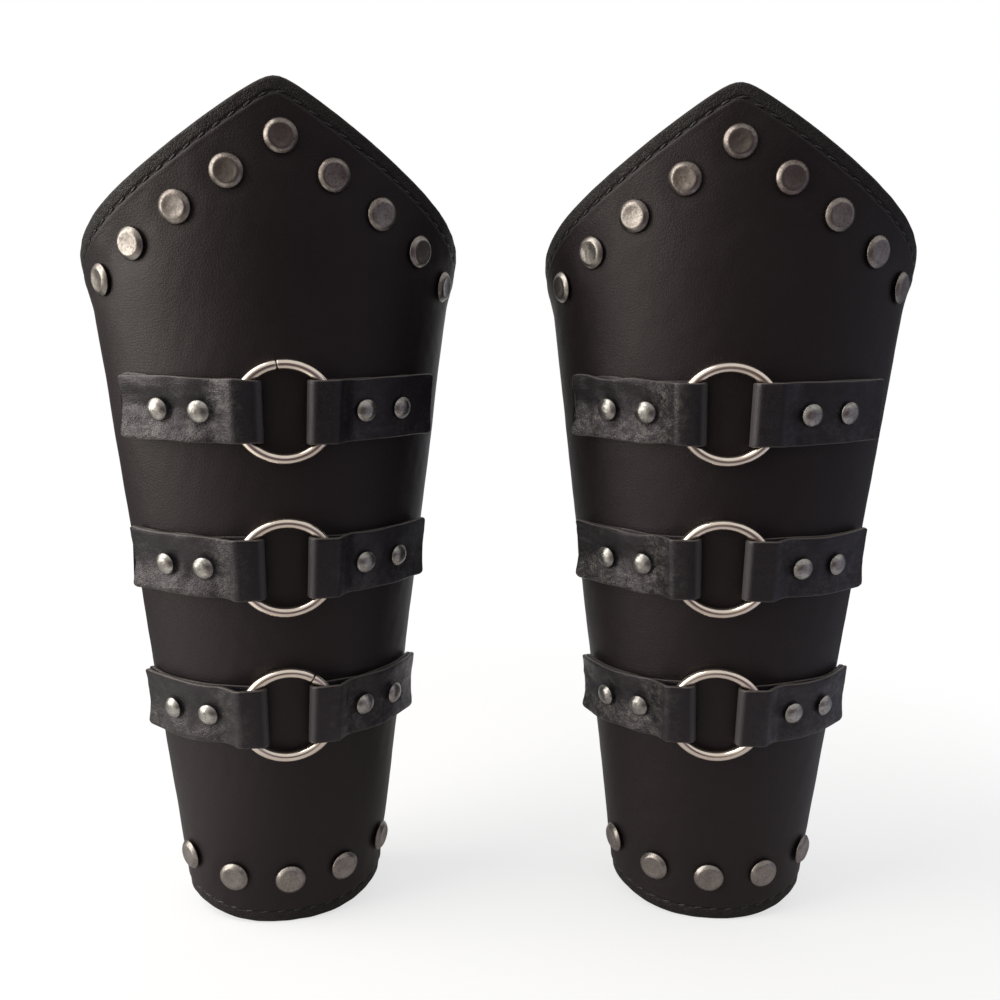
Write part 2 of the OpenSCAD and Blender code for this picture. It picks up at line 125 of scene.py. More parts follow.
# Sizes of the rivets and their places
CAP_D = 0.010
CAP_H = 0.0018
CAP_FLAT = 0.001
CAP_RIM = 0.00035
CAP_UNEVEN = 0.00012
DISH_D = 0.007
DISH_DEPTH = 0.00034
SMALL_CAP_D = 0.007
SMALL_CAP = {"cap_diameter": SMALL_CAP_D, "cap_height": 0.0019, "flat_cut": 0.00005, "dish_depth": 0.0,
             "rim_height": 0.0003, "unevenness": 0.00014}
PEAK_RIVET_DROP = 0.0159
PEAK_RIVET_PITCH = 0.0179
PEAK_RIVETS_SIDE = 4
CUFF_RIVET_H = 0.0158
CUFF_RIVET_PITCH = 0.0183
CUFF_RIVETS_SIDE = 2
INNER_RIVET_S = 0.024
OUTER_RIVET_S = 0.0366
SEAT_GAP = 0.00015

# Sizes of the straps and rings
STRAP_W = 0.019
STRAP_T = 0.0012
STRAP_REACH = 0.050
STRAP_RISE = 0.5
END_STAND = 0.0018
TOP_CURL = 0.35
STRAP_CORNER = 0.002
STRAP_GAP = 0.0002
LAYER_GAP = 0.0001
FRONT_EDGE_R = 0.00045
BACK_EDGE_R = 0.0002
LEAVE_ANGLE = math.radians(42)
LAND_RUN = 0.0019
END_MARGINS = np.array([0, 0.12, 0.3, 0.6, 1, 1.5, 2, 2.6]) / 1000
END_TAPER = 0.0004
RING_BORE = 0.025
WIRE_D = 0.0032
RING_GAP = 0.0002
SEAM_W = 0.00025
SEAM_DEPTH = 0.0002
SEAM_WALL = 0.00001
SEAM_BEVEL = (0.00012, 0.0003)
SEAMS = {"left": (9, 82, -32), "right": (85, -80, 88)}
WIRE_WAVES = (0.008, 0.000015)
WIRE_SIDES = 32
WIRE_STEPS = 150

# How strongly each strap half is puckered round its rivets, which also scales its worn colour and painted
# highlight: upper left, upper right, middle left and so on
PUCKERS = {"left": (1.0, 0.25, 0.75, 0.3, 0.55, 0.45), "right": (1.15, 0.25, 0.95, 0.35, 0.8, 0.35)}

# Relief of a strap half whose pucker is 1: waves as (length, height), the hollow between the rivets, folds that
# spread from each rivet, how far the lower edge stands off, and how far cut edges wander without and with puckers
STRAP_SWELL = (0.010, 0.00015)
STRAP_CREASES = (0.0034, 0.00006)
TROUGH_H = 0.0011
TROUGH_LEVEL = 0.62
RAYS_H = 0.00007
RAYS_REACH = 0.0065
RAY_COUNTS = (7, 6)
LOW_STAND = 0.0011
WANDER_LENGTH = 0.02
WANDER_H = (0.00012, 0.0002)

# From where to where along a strap half its relief, hollow and standing lower edge set in, where its worn colour
# with painted highlight sets in, and where that colour leaves its upper part
RELIEF_START = (0.0145, 0.019)
TROUGH_START = (0.019, 0.023)
STAND_START = (0.0165, 0.023)
RUB_AND_HIGHLIGHT_START = (0.0125, 0.0165)
UPPER_RUB_AND_HIGHLIGHT_END = (0.0185, 0.0255)

OVAL = WRIST_D / WRIST_W
FLARE = (FOREARM_W - WRIST_W) / 2 / PEAK_H
CONE_BELOW = WRIST_W / 2 / FLARE
STRAP_TOP = STRAP_GAP + 2 * STRAP_T + LAYER_GAP
RING_R = (RING_BORE + WIRE_D) / 2


# The cone: s runs around the shell from the front line, z is the height, out is the distance outside
ARC_STEPS = 720
ARC_ANGLES = np.linspace(0, math.pi, ARC_STEPS + 1)
ARC_MIDS = (ARC_ANGLES[1:] + ARC_ANGLES[:-1]) / 2
ARC_PIECES = np.hypot(np.cos(ARC_MIDS), OVAL * np.sin(ARC_MIDS)) * math.pi / ARC_STEPS
ARC_LENGTHS = np.concatenate([[0], np.cumsum(ARC_PIECES)])
HALF_ROUND = ARC_LENGTHS[-1]


def half_w(z):
    return WRIST_W / 2 + FLARE * z


def edge_s(z):
    return half_w(z) * HALF_ROUND - BACK_OPENING / 2


def angle_at(s, z):
    return np.sign(s) * np.interp(np.abs(s) / half_w(z), ARC_LENGTHS, ARC_ANGLES)


def outward(angle):
    normal = np.stack([OVAL * np.sin(angle), -np.cos(angle), np.full_like(angle, -OVAL * FLARE)], -1)
    return normal / np.linalg.norm(normal, axis=-1, keepdims=True)


def upward(angle):
    return np.stack([FLARE * np.sin(angle), -OVAL * FLARE * np.cos(angle), np.ones_like(angle)], -1)


def on_cone(s, z, out):
    s, z, out = np.broadcast_arrays(*(np.asarray(v, float) for v in (s, z, out)))
    angle = angle_at(s, z)
    a = half_w(z)
    face = np.stack([a * np.sin(angle), -OVAL * a * np.cos(angle), z], -1)
    return face + out[..., None] * outward(angle)


def corner_rise(s, z):
    return CORNER_ROUND * np.maximum(0, 1 - (edge_s(z) - np.abs(s)) / CORNER_ROUND) ** 2


def top_z(s, z, lean):
    from_peak = s + lean * np.exp(-(s / LEAN_REACH) ** 2)
    return PEAK_H + TOP_SLOPE * (PEAK_ROUND - np.hypot(from_peak, PEAK_ROUND)) - corner_rise(s, z)


def rim_z(s, z):
    foot = edge_s(0) - CORNER_ROUND
    return WRIST_ARCH * np.sin(math.pi * np.abs(s / foot) ** ARCH_LEAN) ** 2 + corner_rise(s, z)


def strap_lift(s, z):
    return STRAP_RISE * s * s / 2 / (z + CONE_BELOW)


def ripples(x, y, wavelength, seed, waves=9):
    """Smooth uneven waves between about -1 and 1, the same at every run."""
    draw = np.random.default_rng(seed)
    total = 0
    for _ in range(waves):
        turn, phase = draw.uniform(0, 2 * math.pi, 2)
        rate = 2 * math.pi / wavelength * draw.uniform(0.6, 1.5)
        total = total + np.sin(rate * (x * math.cos(turn) + y * math.sin(turn)) + phase)
    return total / math.sqrt(waves)


def smooth_step(low, high, x):
    t = np.clip((x - low) / (high - low), 0, 1)
    return t * t * (3 - 2 * t)


def waves(bracer, s, z, first_seed, sizes):
    """Soft waves, one for each (length, height) in sizes, with a seed of its own."""
    return sum(ripples(s, z, length, bracer.seed(first_seed + k)) * height
               for k, (length, height) in enumerate(sizes))


class Bracer:
    """One bracer's place in the pair, worked out from its rings' joints."""

    def __init__(self, side):
        self.side = side
        self.body = f"{side}_bracer"
        self.lean = PEAK_LEAN[side]
        joints = {joint["name"]: joint for joint in frame["joints"]}
        rings = [joints[f"{side}_{row}_ring_turn"] for row in ROWS]
        axis = rings[0]["axis"]
        self.turn = math.atan2(axis[0], -axis[1])
        self.strap_z = {row: ring["pos_m"][2] for row, ring in zip(ROWS, rings)}
        x, y, z = rings[0]["pos_m"]
        self.base = np.array([x, y, z]) - self.face([0, -OVAL * half_w(z) - ring_h(z), z])

    def face(self, directions):
        c, s = math.cos(self.turn), math.sin(self.turn)
        return np.asarray(directions, float) @ np.array([[c, s, 0], [-s, c, 0], [0, 0, 1]])

    def place(self, points):
        return self.face(points) + self.base

    def seed(self, number):
        return number + 100 * SIDES.index(self.side)


# Straps in section: [x, out] from the front line, with out measured straight forward
def strap_flat(s, z, out):
    s = np.asarray(s, float)
    angle = angle_at(s, z)
    a = half_w(z)
    length = np.hypot(OVAL * np.sin(angle), np.cos(angle))
    x = a * np.sin(angle) + out * OVAL * np.sin(angle) / length
    forward = OVAL * a * (np.cos(angle) - 1) + out * np.cos(angle) / length
    return np.stack([x, forward, s], -1)


def fold_inside(z):
    wire_x = math.sqrt((RING_BORE / 2) ** 2 - (STRAP_W / 2 + strap_lift(RING_R, z)) ** 2)
    lean = STRAP_W / 2 * upward(angle_at(wire_x + WIRE_D / 2, z))[0]
    return wire_x - lean - RING_GAP


def ring_h(z):
    return float(strap_flat(fold_inside(z) + WIRE_D / 2, z, STRAP_GAP + STRAP_T)[1]) + RING_GAP + WIRE_D / 2


# Fastener places, as s and z on the shell
def peak_row():
    step = PEAK_RIVET_PITCH * math.cos(TOP_ANGLE)
    k = np.arange(-PEAK_RIVETS_SIDE, PEAK_RIVETS_SIDE + 1)
    return np.stack([k * step, PEAK_H - PEAK_RIVET_DROP - np.abs(k) * step * TOP_SLOPE], -1)


def cuff_row():
    s = np.arange(-CUFF_RIVETS_SIDE, CUFF_RIVETS_SIDE + 1) * CUFF_RIVET_PITCH
    return np.stack([s, CUFF_RIVET_H + rim_z(s, 0)], -1)


def strap_rivets(bracer):
    return np.array([(sign * s, z + strap_lift(s, z)) for z in bracer.strap_z.values()
                     for sign in (-1, 1) for s in (INNER_RIVET_S, OUTER_RIVET_S)])


def new_object(name, data):
    obj = bpy.data.objects.new(name, data)
    bpy.context.scene.collection.objects.link(obj)
    return obj


def set_values(mesh, name, values):
    kind, field = ("FLOAT_VECTOR", "vector") if np.ndim(values) > 1 else ("FLOAT", "value")
    layer = mesh.attributes.new(name, kind, "POINT")
    layer.data.foreach_set(field, np.ravel(values).astype(np.float32))


def mesh_object(name, points, faces, **values):
    """A plain mesh at the origin, with its faces turned outwards and the given values at its points."""
    mesh = bpy.data.meshes.new(name)
    mesh.from_pydata(points.tolist(), [], faces)
    mesh.update()
    for key, value in values.items():
        set_values(mesh, key, value)
    corners = np.array([points[face[:3]] for face in faces])
    if np.einsum("ij,ij->i", corners[:, 0], np.cross(corners[:, 1], corners[:, 2])).sum() < 0:
        mesh.flip_normals()
    mesh.polygons.foreach_set("use_smooth", [True] * len(mesh.polygons))
    return new_object(name, mesh)


def closed_sheet_faces(columns, rows):
    """Faces of a sheet's outer grid, inner grid and edges, each grid column by column."""
    inside = columns * rows
    i, j = (v.ravel() for v in np.meshgrid(np.arange(columns - 1), np.arange(rows - 1), indexing="ij"))
    a = i * rows + j
    quads = [np.stack([a, a + 1, a + rows + 1, a + rows], -1)]
    quads.append(np.stack([a, a + rows, a + rows + 1, a + 1], -1) + inside)
    for end in (0, rows - 1):
        a = np.arange(columns - 1) * rows + end
        edge = np.stack([a, a + rows, a + rows + inside, a + inside], -1)
        quads.append(edge if end == 0 else edge[:, ::-1])
    for end in (0, columns - 1):
        a = np.arange(rows - 1) + end * rows
        edge = np.stack([a, a + inside, a + inside + 1, a + 1], -1)
        quads.append(edge if end == 0 else edge[:, ::-1])
    return np.concatenate(quads).tolist()


def tube_faces(rings, rim, closed):
    """Quads between rings of rim points each; a closed tube's last ring meets its first one."""
    lengths = np.arange(rings if closed else rings - 1)
    i, k = (v.ravel() for v in np.meshgrid(lengths, np.arange(rim), indexing="ij"))
    after, beside = (i + 1) % rings, (k + 1) % rim
    return np.stack([i * rim + k, i * rim + beside, after * rim + beside, after * rim + k], -1).tolist()


def corner_swell(s, z, lean):
    """The leather's top edge bends outwards a little at the sides."""
    beside = smooth_step(*SWELL_START, np.abs(s)) * (1 - smooth_step(*SWELL_END, np.abs(s)))
    return CORNER_SWELL * beside * (1 - smooth_step(0, SWELL_DROP, top_z(s, z, lean) - z))


def shell_grid(margins, columns, middle_rows, lean):
    """Places s, z on the shell and each one's distance from the nearest edge, crowded along the edges."""
    margins = np.asarray(margins)
    inner = margins[-1]
    ends = np.ones(len(margins))
    share = np.concatenate([-ends, np.linspace(-1, 1, columns + 1)[1:-1], ends])
    inset = np.concatenate([margins, np.full(columns - 1, inner), margins[::-1]])

    def column_s(z):
        return share * (edge_s(z) - inset)

    def top(s, z):
        return top_z(s, z, lean)

    def stretch(edge_z, z):
        """How much further apart upright lines near a sloping edge lie for the same distance from it."""
        s = column_s(z)
        slope = (edge_z(s + SLOPE_STEP, z) - edge_z(s - SLOPE_STEP, z)) / 2 / SLOPE_STEP
        return np.minimum(np.hypot(slope, 1), MAX_STRETCH)[:, None]

    low = np.zeros_like(share)
    high = np.full_like(share, PEAK_H)
    for _ in range(EDGE_ROUNDS):
        low, high = rim_z(column_s(low), low), top(column_s(high), high)
    low_stretch, high_stretch = stretch(rim_z, low), stretch(top, high)
    low, high = low[:, None], high[:, None]
    first = low + inner * low_stretch
    last = high - inner * high_stretch
    between = np.linspace(0, 1, middle_rows + 2)[1:-1]
    z = np.concatenate([
        low + margins * low_stretch, first + (last - first) * between, high - margins[::-1] * high_stretch], 1)
    s = share[:, None] * (edge_s(z) - inset[:, None])
    row_margin = np.concatenate([margins, np.full(middle_rows, inner), margins[::-1]])
    side_margin = np.where(np.abs(share) == 1, inset, np.inf)
    return s, z, np.minimum(side_margin[:, None], row_margin)


def hem_depth(edge):
    """How far the pressed, stitched hem lies under the leather's face, by distance from the edge."""
    round_off = EDGE_ROUND - np.sqrt(np.maximum(0, EDGE_ROUND ** 2 - np.maximum(0, EDGE_ROUND - edge) ** 2))
    pressed = HEM_PRESS * (1 - smooth_step(HEM_W, HEM_W + GROOVE_W / 2, edge))
    across = np.abs(edge - HEM_W) / (GROOVE_W / 2)
    groove = GROOVE_DEPTH * (1 - smooth_step(GROOVE_FLAT, 1, across))
    beyond = (edge - HEM_W - GROOVE_W / 2) / LIP_W
    lip = LIP_H * np.where((beyond > 0) & (beyond < 1), np.sin(math.pi * np.clip(beyond, 0, 1)) ** 2, 0)
    return round_off + pressed + groove - lip


def rivet_dents(s, z, places, radius, depth, reach):
    dent = np.zeros_like(s)
    for place_s, place_z in places:
        away = np.hypot(s - place_s, z - place_z)
        dent = np.maximum(dent, depth * (1 - smooth_step(radius * DENT_START, radius + reach, away)))
    return dent


def sheet(bracer, name, outer, inner, **values):
    """A closed sheet between two grids of points."""
    points = bracer.place(np.concatenate([outer.reshape(-1, 3), inner.reshape(-1, 3)]))
    return mesh_object(f"{bracer.side}_{name}", points, closed_sheet_faces(*outer.shape[:2]), **values)


def outer_shell(bracer):
    s, z, edge = shell_grid(HEM_MARGINS, *SHELL_GRID, bracer.lean)
    swell = corner_swell(s, z, bracer.lean)
    inland = smooth_step(*HEM_WAVES_END, edge)
    face_waves = np.minimum(waves(bracer, s, z, 1, SHELL_WAVES), SHELL_RISE) * inland
    hem_waves = waves(bracer, s, z, 3, HEM_WAVES) * (1 - inland)
    dents = rivet_dents(s, z, np.concatenate([peak_row(), cuff_row()]), CAP_D / 2, *SHELL_DENT)
    outer = on_cone(s, z, face_waves - dents - hem_depth(edge) + hem_waves + swell)
    inner_round = INNER_ROUND_H * (1 - np.minimum(1, edge / INNER_ROUND_W)) ** 2
    inner = on_cone(s, z, inner_round - LEATHER_T + swell)
    shell = sheet(bracer, "leather_shell", outer, inner, edge=np.tile(edge.ravel(), 2))
    finish_piece(shell, bracer.body, "leather", shell_leather, f"{bracer.side}_outer_shell")


def lining(bracer):
    s, z, edge = shell_grid(LINING_MARGINS, *LINING_GRID, bracer.lean)
    swell = corner_swell(s, z, bracer.lean)
    seam = LINING_SEAM_H * np.exp(-((edge - HEM_W) / LINING_SEAM_W) ** 2)
    thin = LINING_THIN_H * (1 - smooth_step(LINING_INSET, LINING_INSET + LINING_THIN_W, edge))
    soft_waves = np.maximum(waves(bracer, s, z, 5, LINING_WAVES), -LINING_SINK)
    outer = on_cone(s, z, swell - LEATHER_T - GLUE_GAP)
    inner = on_cone(s, z, swell - WALL_T + seam + thin + soft_waves)
    lined = sheet(bracer, "suede_lining", outer, inner)
    finish_piece(lined, bracer.body, "lining", suede, f"{bracer.side}_lining")


def strap_path(z):
    """Middle line of a strap from its back end round the wire to its front end, as x, out and s."""
    low = STRAP_GAP + STRAP_T / 2
    high = STRAP_TOP - STRAP_T / 2
    over = WIRE_D / 2 + RING_GAP + STRAP_T / 2
    bottom = strap_flat(fold_inside(z) + WIRE_D / 2, z, low)[1]
    top = ring_h(z) + over
    fold_r = (top - bottom) / 2
    fold_x = fold_inside(z) + fold_r - STRAP_T / 2
    shut_s = INNER_RIVET_S - SMALL_CAP_D / 2
    lie_s = fold_x + fold_r / 2
    end = STRAP_REACH - END_MARGINS
    plain = np.linspace(shut_s, end[-1], 34)[:-1]
    turn = np.radians(np.linspace(-90, -270, 15))
    fold = np.stack([fold_x + fold_r * np.cos(turn), (top + bottom) / 2 + fold_r * np.sin(turn),
                     np.full_like(turn, fold_x)], -1)
    bend = np.linspace(math.pi / 2, LEAVE_ANGLE, 9)
    wire = np.stack([RING_R + over * np.cos(bend), ring_h(z) + over * np.sin(bend), np.full_like(bend, RING_R)], -1)
    land = strap_flat(shut_s, z, high)
    near = strap_flat(shut_s - LAND_RUN, z, high)
    u = np.linspace(0, 1, 7)[1:-1, None]
    slide = (1 - u) ** 2 * wire[-1] + 2 * u * (1 - u) * near + u ** 2 * land
    return np.concatenate([
        strap_flat(end, z, low), strap_flat(plain[::-3], z, low),
        strap_flat([lie_s + (shut_s - lie_s) / 2, lie_s], z, low),
        fold, wire, slide, strap_flat(plain, z, high), strap_flat(end[::-1], z, high)])


def strap_section():
    """Rim of a strap's cross-section: share of the half width, inset from it, and share of the half thickness."""
    def rounded(radius, face, angles):
        return [(radius * (1 - math.cos(a)), face * (1 - 2 * radius / STRAP_T * (1 - math.sin(a))))
                for a in np.radians(angles)]

    front = rounded(FRONT_EDGE_R, 1, [0, 30, 60, 90])
    back = rounded(BACK_EDGE_R, -1, [0, 45, 90])
    rim = [(-1, *place) for place in front]
    rim += [(share, 0, 1) for share in np.linspace(-1, 1, 29)[2:-2]]
    rim += [(1, *place) for place in front[::-1] + back]
    rim += [(share, 0, -1) for share in np.linspace(1, -1, 9)[1:-1]]
    return np.array(rim + [(-1, *place) for place in back[::-1]])


def strap_relief(x, y, pucker, seed):
    """Wrinkles and dents of a strap half's front, where x runs along it as s does and y across it."""
    rivets = (INNER_RIVET_S, OUTER_RIVET_S)
    share = np.abs(y) / (STRAP_W / 2)
    trough = TROUGH_H * (share ** 1.3 - TROUGH_LEVEL) * smooth_step(*TROUGH_START, x) * (1 - 0.5 * share ** 6)
    swell = ripples(x, y * 1.2, STRAP_SWELL[0], seed + 40) * STRAP_SWELL[1]
    creases = ripples(x * 0.55, y, STRAP_CREASES[0], seed + 60) * STRAP_CREASES[1]
    near = sum(np.exp(-(np.hypot(x - r, y) / RAYS_REACH) ** 2) for r in rivets)
    turn = sum(np.arctan2(y, x - r) * count for r, count in zip(rivets, RAY_COUNTS))
    rays = np.sin(turn + 2 * ripples(x, y, 0.01, seed + 80)) * np.minimum(near, 1) * RAYS_H
    sag = rivet_dents(x, y, [(r, 0) for r in rivets], SMALL_CAP_D / 2, *STRAP_DENT)
    return pucker * (trough + swell + creases + rays) - sag * (0.45 + 0.55 * pucker)


def strap_half(bracer, row, half):
    z = bracer.strap_z[row]
    number = 2 * ROWS.index(row) + HALVES.index(half)
    seed, pucker = bracer.seed(10 + number), PUCKERS[bracer.side][number]
    path = strap_path(z)
    s = path[:, 2]
    along = np.gradient(path[:, :2], axis=0)
    along /= np.linalg.norm(along, axis=1, keepdims=True)
    thick = np.stack([-along[:, 1], along[:, 0]], -1)
    run = np.concatenate([[0], np.cumsum(np.linalg.norm(np.diff(path[:, :2], axis=0), axis=1))])
    front = run > run[-1] / 2

    # The plain strip: its cut edges wander a little, and its end is rounded and thinned
    share, inset, level = strap_section().T
    end = np.minimum(STRAP_REACH - s, STRAP_CORNER)
    reach = STRAP_W / 2 - STRAP_CORNER + np.sqrt(np.maximum(0, STRAP_CORNER ** 2 - (STRAP_CORNER - end) ** 2))
    wander_h = WANDER_H[0] + WANDER_H[1] * pucker
    edges = ripples(run[:, None], np.array([-0.01, 0.01]), WANDER_LENGTH, seed) * wander_h
    across = share * (reach[:, None] - inset)
    across = across + np.where(across < 0, edges[:, :1], edges[:, 1:])
    taper = np.clip((STRAP_REACH - s) / END_TAPER, 0.35, 1)
    height = level * STRAP_T / 2 * taper[:, None]

    # Wrinkles and dents belong to the outer face of the front layer, whose lower edge stands off
    x, y = np.broadcast_arrays(s[:, None], across)
    low_share = -y / (STRAP_W / 2)
    on_front = smooth_step(0.5, 1, level) * front[:, None]
    flat_part = smooth_step(*RELIEF_START, s)[:, None] * on_front
    stand = smooth_step(0.25, 1.1, low_share) * (smooth_step(*STAND_START, s) * front)[:, None]
    height = height + flat_part * strap_relief(x, y, pucker, seed) + LOW_STAND * pucker * stand

    # The strip in place, with its end curled off the shell
    angle = angle_at(s, z)
    centre = np.stack([path[:, 0], -OVAL * half_w(z) - path[:, 1], np.full(len(path), z)], -1)
    rise = strap_lift(s, z)[:, None] + across
    points = centre[:, None, :] + rise[..., None] * upward(angle)[:, None, :]
    points[..., 0] += height * thick[:, None, 0]
    points[..., 1] -= height * thick[:, None, 1]
    held_s = OUTER_RIVET_S + SMALL_CAP_D / 2
    curl = END_STAND * (np.maximum(0, s - held_s) / (STRAP_REACH - held_s)) ** 2
    upper_share = (across / STRAP_W + 0.5)[..., None]
    points += curl[:, None, None] * (1 + (TOP_CURL - 1) * upper_share) * outward(angle)[:, None, :]
    points[..., 0] *= -1 if half == "left" else 1

    rings, rim = height.shape
    faces = tube_faces(rings, rim, closed=False)
    faces += [list(range(rim))[::-1], list(range((rings - 1) * rim, rings * rim))]
    lay = np.stack(np.broadcast_arrays(run[:, None], across, height), -1).reshape(-1, 3)
    # Painted highlight: the pale worn colour goes mostly on the lower band and near the inner end, which tilt up
    # towards the lamp
    lit = np.maximum(smooth_step(-0.2, 0.6, low_share), 1 - smooth_step(*UPPER_RUB_AND_HIGHLIGHT_END, x))
    worked = (smooth_step(*RUB_AND_HIGHLIGHT_START, s) * front)[:, None] * pucker * (0.2 + 0.8 * lit)
    # Painted highlight: one face of each fold gets a paler colour, partly also wear
    fold = smooth_step(0.2, 0.9, -thick[:, 0])[:, None] * (level > -0.9)
    cut = np.ones_like(run)[:, None] * (np.abs(share) == 1) * (np.abs(level) < 0.95)
    strap = mesh_object(f"{bracer.side}_{row}_strap_{half}_half", bracer.place(points.reshape(-1, 3)), faces,
                        lay=lay + seed, worked=worked.ravel(), fold=fold.ravel(), cut=cut.ravel())
    finish_piece(strap, bracer.body, "strap_leather", strap_leather, f"{bracer.side}_strap_{row}_{half}")


def wire_ring(bracer, row):
    z = bracer.strap_z[row]
    number = ROWS.index(row)
    full = 2 * math.pi
    bevel_depth, bevel_w = SEAM_BEVEL
    beside = np.array([0, 0.0001, 0.0003, 0.0007])
    close = np.concatenate([[0, SEAM_W / 2 - SEAM_WALL], SEAM_W / 2 + beside]) / RING_R
    turns = np.concatenate([
        close, np.linspace(close[-1], full - close[-1], WIRE_STEPS)[1:-1], full - close[:0:-1]])
    gap = np.minimum(turns, full - turns) * RING_R
    radius = np.where(gap < SEAM_W / 2, WIRE_D / 2 - SEAM_DEPTH, WIRE_D / 2)
    radius = radius - bevel_depth * np.clip(1 - (gap - SEAM_W / 2) / bevel_w, 0, 1) ** 2 * (gap >= SEAM_W / 2)
    radius = radius + ripples(turns * RING_R, 0, WIRE_WAVES[0], bracer.seed(120 + number)) * WIRE_WAVES[1]
    tube = np.linspace(0, full, WIRE_SIDES + 1)[:-1]
    r = RING_R + radius[:, None] * np.cos(tube)
    depth = radius[:, None] * np.sin(tube)
    angle = (turns + math.radians(SEAMS[bracer.side][number]))[:, None]
    flat = np.stack([-r * np.sin(angle), -depth, r * np.cos(angle)], -1)
    slope = math.atan(OVAL * FLARE)
    c, s = math.cos(slope), math.sin(slope)
    leaned = flat @ np.array([[1, 0, 0], [0, c, s], [0, -s, c]])
    points = leaned + [0, -OVAL * half_w(z) - ring_h(z), z]
    seam = np.repeat(np.clip(1.6 - gap / SEAM_W, 0, 1), WIRE_SIDES)
    ring = mesh_object(f"{bracer.side}_{row}_wire_ring", bracer.place(points.reshape(-1, 3)),
                       tube_faces(len(turns), WIRE_SIDES, closed=True), seam=seam)
    finish_piece(ring, f"{bracer.side}_{row}_ring", "nickel", ring_nickel, f"{bracer.side}_ring_{row}")


def paint(obj, material):
    obj.data.materials.clear()
    obj.data.materials.append(material)


def finish_piece(obj, body, slot, material, *nodes):
    paint(obj, material)
    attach(obj, body)
    if nodes:
        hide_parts(*nodes)


class Tree:
    """Short calls for building a node tree."""

    def __init__(self, tree):
        self.tree = tree

    def add(self, kind, inputs=None, **settings):
        node = self.tree.nodes.new(kind)
        for key, value in settings.items():
            setattr(node, key, value)
        self.fill(node, inputs or {})
        return node

    def fill(self, node, inputs):
        for key, value in inputs.items():
            self.put(node.inputs[key], value)

    def put(self, socket, value):
        if isinstance(value, bpy.types.NodeSocket):
            self.tree.links.new(value, socket)
        elif isinstance(value, bpy.types.Node):
            self.tree.links.new(next(o for o in value.outputs if o.enabled), socket)
        else:
            socket.default_value = value

    def math(self, operation, *values, clamp=False):
        node = self.add("ShaderNodeMath", operation=operation, use_clamp=clamp)
        for socket, value in zip(node.inputs, values):
            self.put(socket, value)
        return node.outputs[0]

    def vector(self, operation, *values):
        node = self.add("ShaderNodeVectorMath", operation=operation)
        for socket, value in zip(node.inputs, values):
            self.put(socket, value)
        return node.outputs[1] if operation == "LENGTH" else node.outputs[0]

    def scaled(self, vector, factor):
        return self.add("ShaderNodeVectorMath", {0: vector, "Scale": factor}, operation="SCALE").outputs[0]

    def ramp(self, value, low, high, to_low=0.0, to_high=1.0, **settings):
        """A number that goes from to_low to to_high as value goes from low to high."""
        return self.add("ShaderNodeMapRange", {
            "Value": value, "From Min": low, "From Max": high, "To Min": to_low, "To Max": to_high},
            **settings).outputs[0]

    def blend(self, share, a, b):
        """A number that goes from a to b as share goes from 0 to 1."""
        return self.add("ShaderNodeMix", {"Factor": share, 2: a, 3: b}, data_type="FLOAT").outputs[0]

    def tint(self, share, a, b):
        """The same for colours, written as (red, green, blue)."""
        a, b = ((*color, 1) if isinstance(color, tuple) else color for color in (a, b))
        return self.add("ShaderNodeMix", {"Factor": share, 6: a, 7: b}, data_type="RGBA").outputs[2]

    def part(self, vector, axis):
        return self.add("ShaderNodeSeparateXYZ", {0: vector}).outputs[axis]

    def noise(self, vector, scale, detail, roughness=0.5):
        return self.add("ShaderNodeTexNoise", {
            "Vector": vector, "Scale": scale, "Detail": detail, "Roughness": roughness})

    def plus(self, a, b, **settings):
        return self.math("ADD", a, b, **settings)

    def minus(self, a, b):
        return self.math("SUBTRACT", a, b)

    def times(self, a, b, **settings):
        return self.math("MULTIPLY", a, b, **settings)

    def over(self, a, b):
        return self.math("DIVIDE", a, b)


def cleared(owner):
    """The node tree of a material or world, emptied."""
    owner.use_nodes = True
    owner.node_tree.nodes.clear()
    return Tree(owner.node_tree)


def new_group(kind, name, inputs, outputs):
    """A node group with named inputs, given as (name, socket kind, value), and named outputs."""
    group = bpy.data.node_groups.new(name, kind)
    for label, socket_kind, value in inputs:
        socket = group.interface.new_socket(label, in_out="INPUT", socket_type=socket_kind)
        if value is not None:
            socket.default_value = value
    for label, socket_kind in outputs:
        group.interface.new_socket(label, in_out="OUTPUT", socket_type=socket_kind)
    tree = Tree(group)
    return tree, tree.add("NodeGroupInput").outputs, tree.add("NodeGroupOutput")


# Repeated pieces, made by geometry nodes
NUMBER = "NodeSocketFloat"
GEOMETRY = ("Geometry", "NodeSocketGeometry")
MATERIAL = ("Material", "NodeSocketMaterial", None)
CAP_GRID = (41, 26)
CAP_TOP_PART = 0.85
CROWN_BLEND = 0.0008
DISH_POWER = 2.8


def facing(t):
    """The way that a copy points, kept at each point of the piece's seeds."""
    return t.add("GeometryNodeInputNamedAttribute", {"Name": "facing"}, data_type="FLOAT_VECTOR").outputs[0]


def facing_turn(t, along=None):
    """Stands a copy on its point: its Z along facing, and its X along the given direction."""
    stood = t.add("FunctionNodeAlignRotationToVector", {"Vector": facing(t)}, axis="Z")
    if along is None:
        return stood
    return t.add("FunctionNodeAlignRotationToVector", {"Rotation": stood, "Vector": along},
                 axis="X", pivot_axis="Z").outputs[0]


def close_tree(t, group_out, copies, material):
    real = t.add("GeometryNodeRealizeInstances", {0: copies})
    smooth = t.add("GeometryNodeSetShadeSmooth", {0: real})
    painted = t.add("GeometryNodeSetMaterial", {0: smooth, "Material": material})
    t.put(group_out.inputs[0], painted)


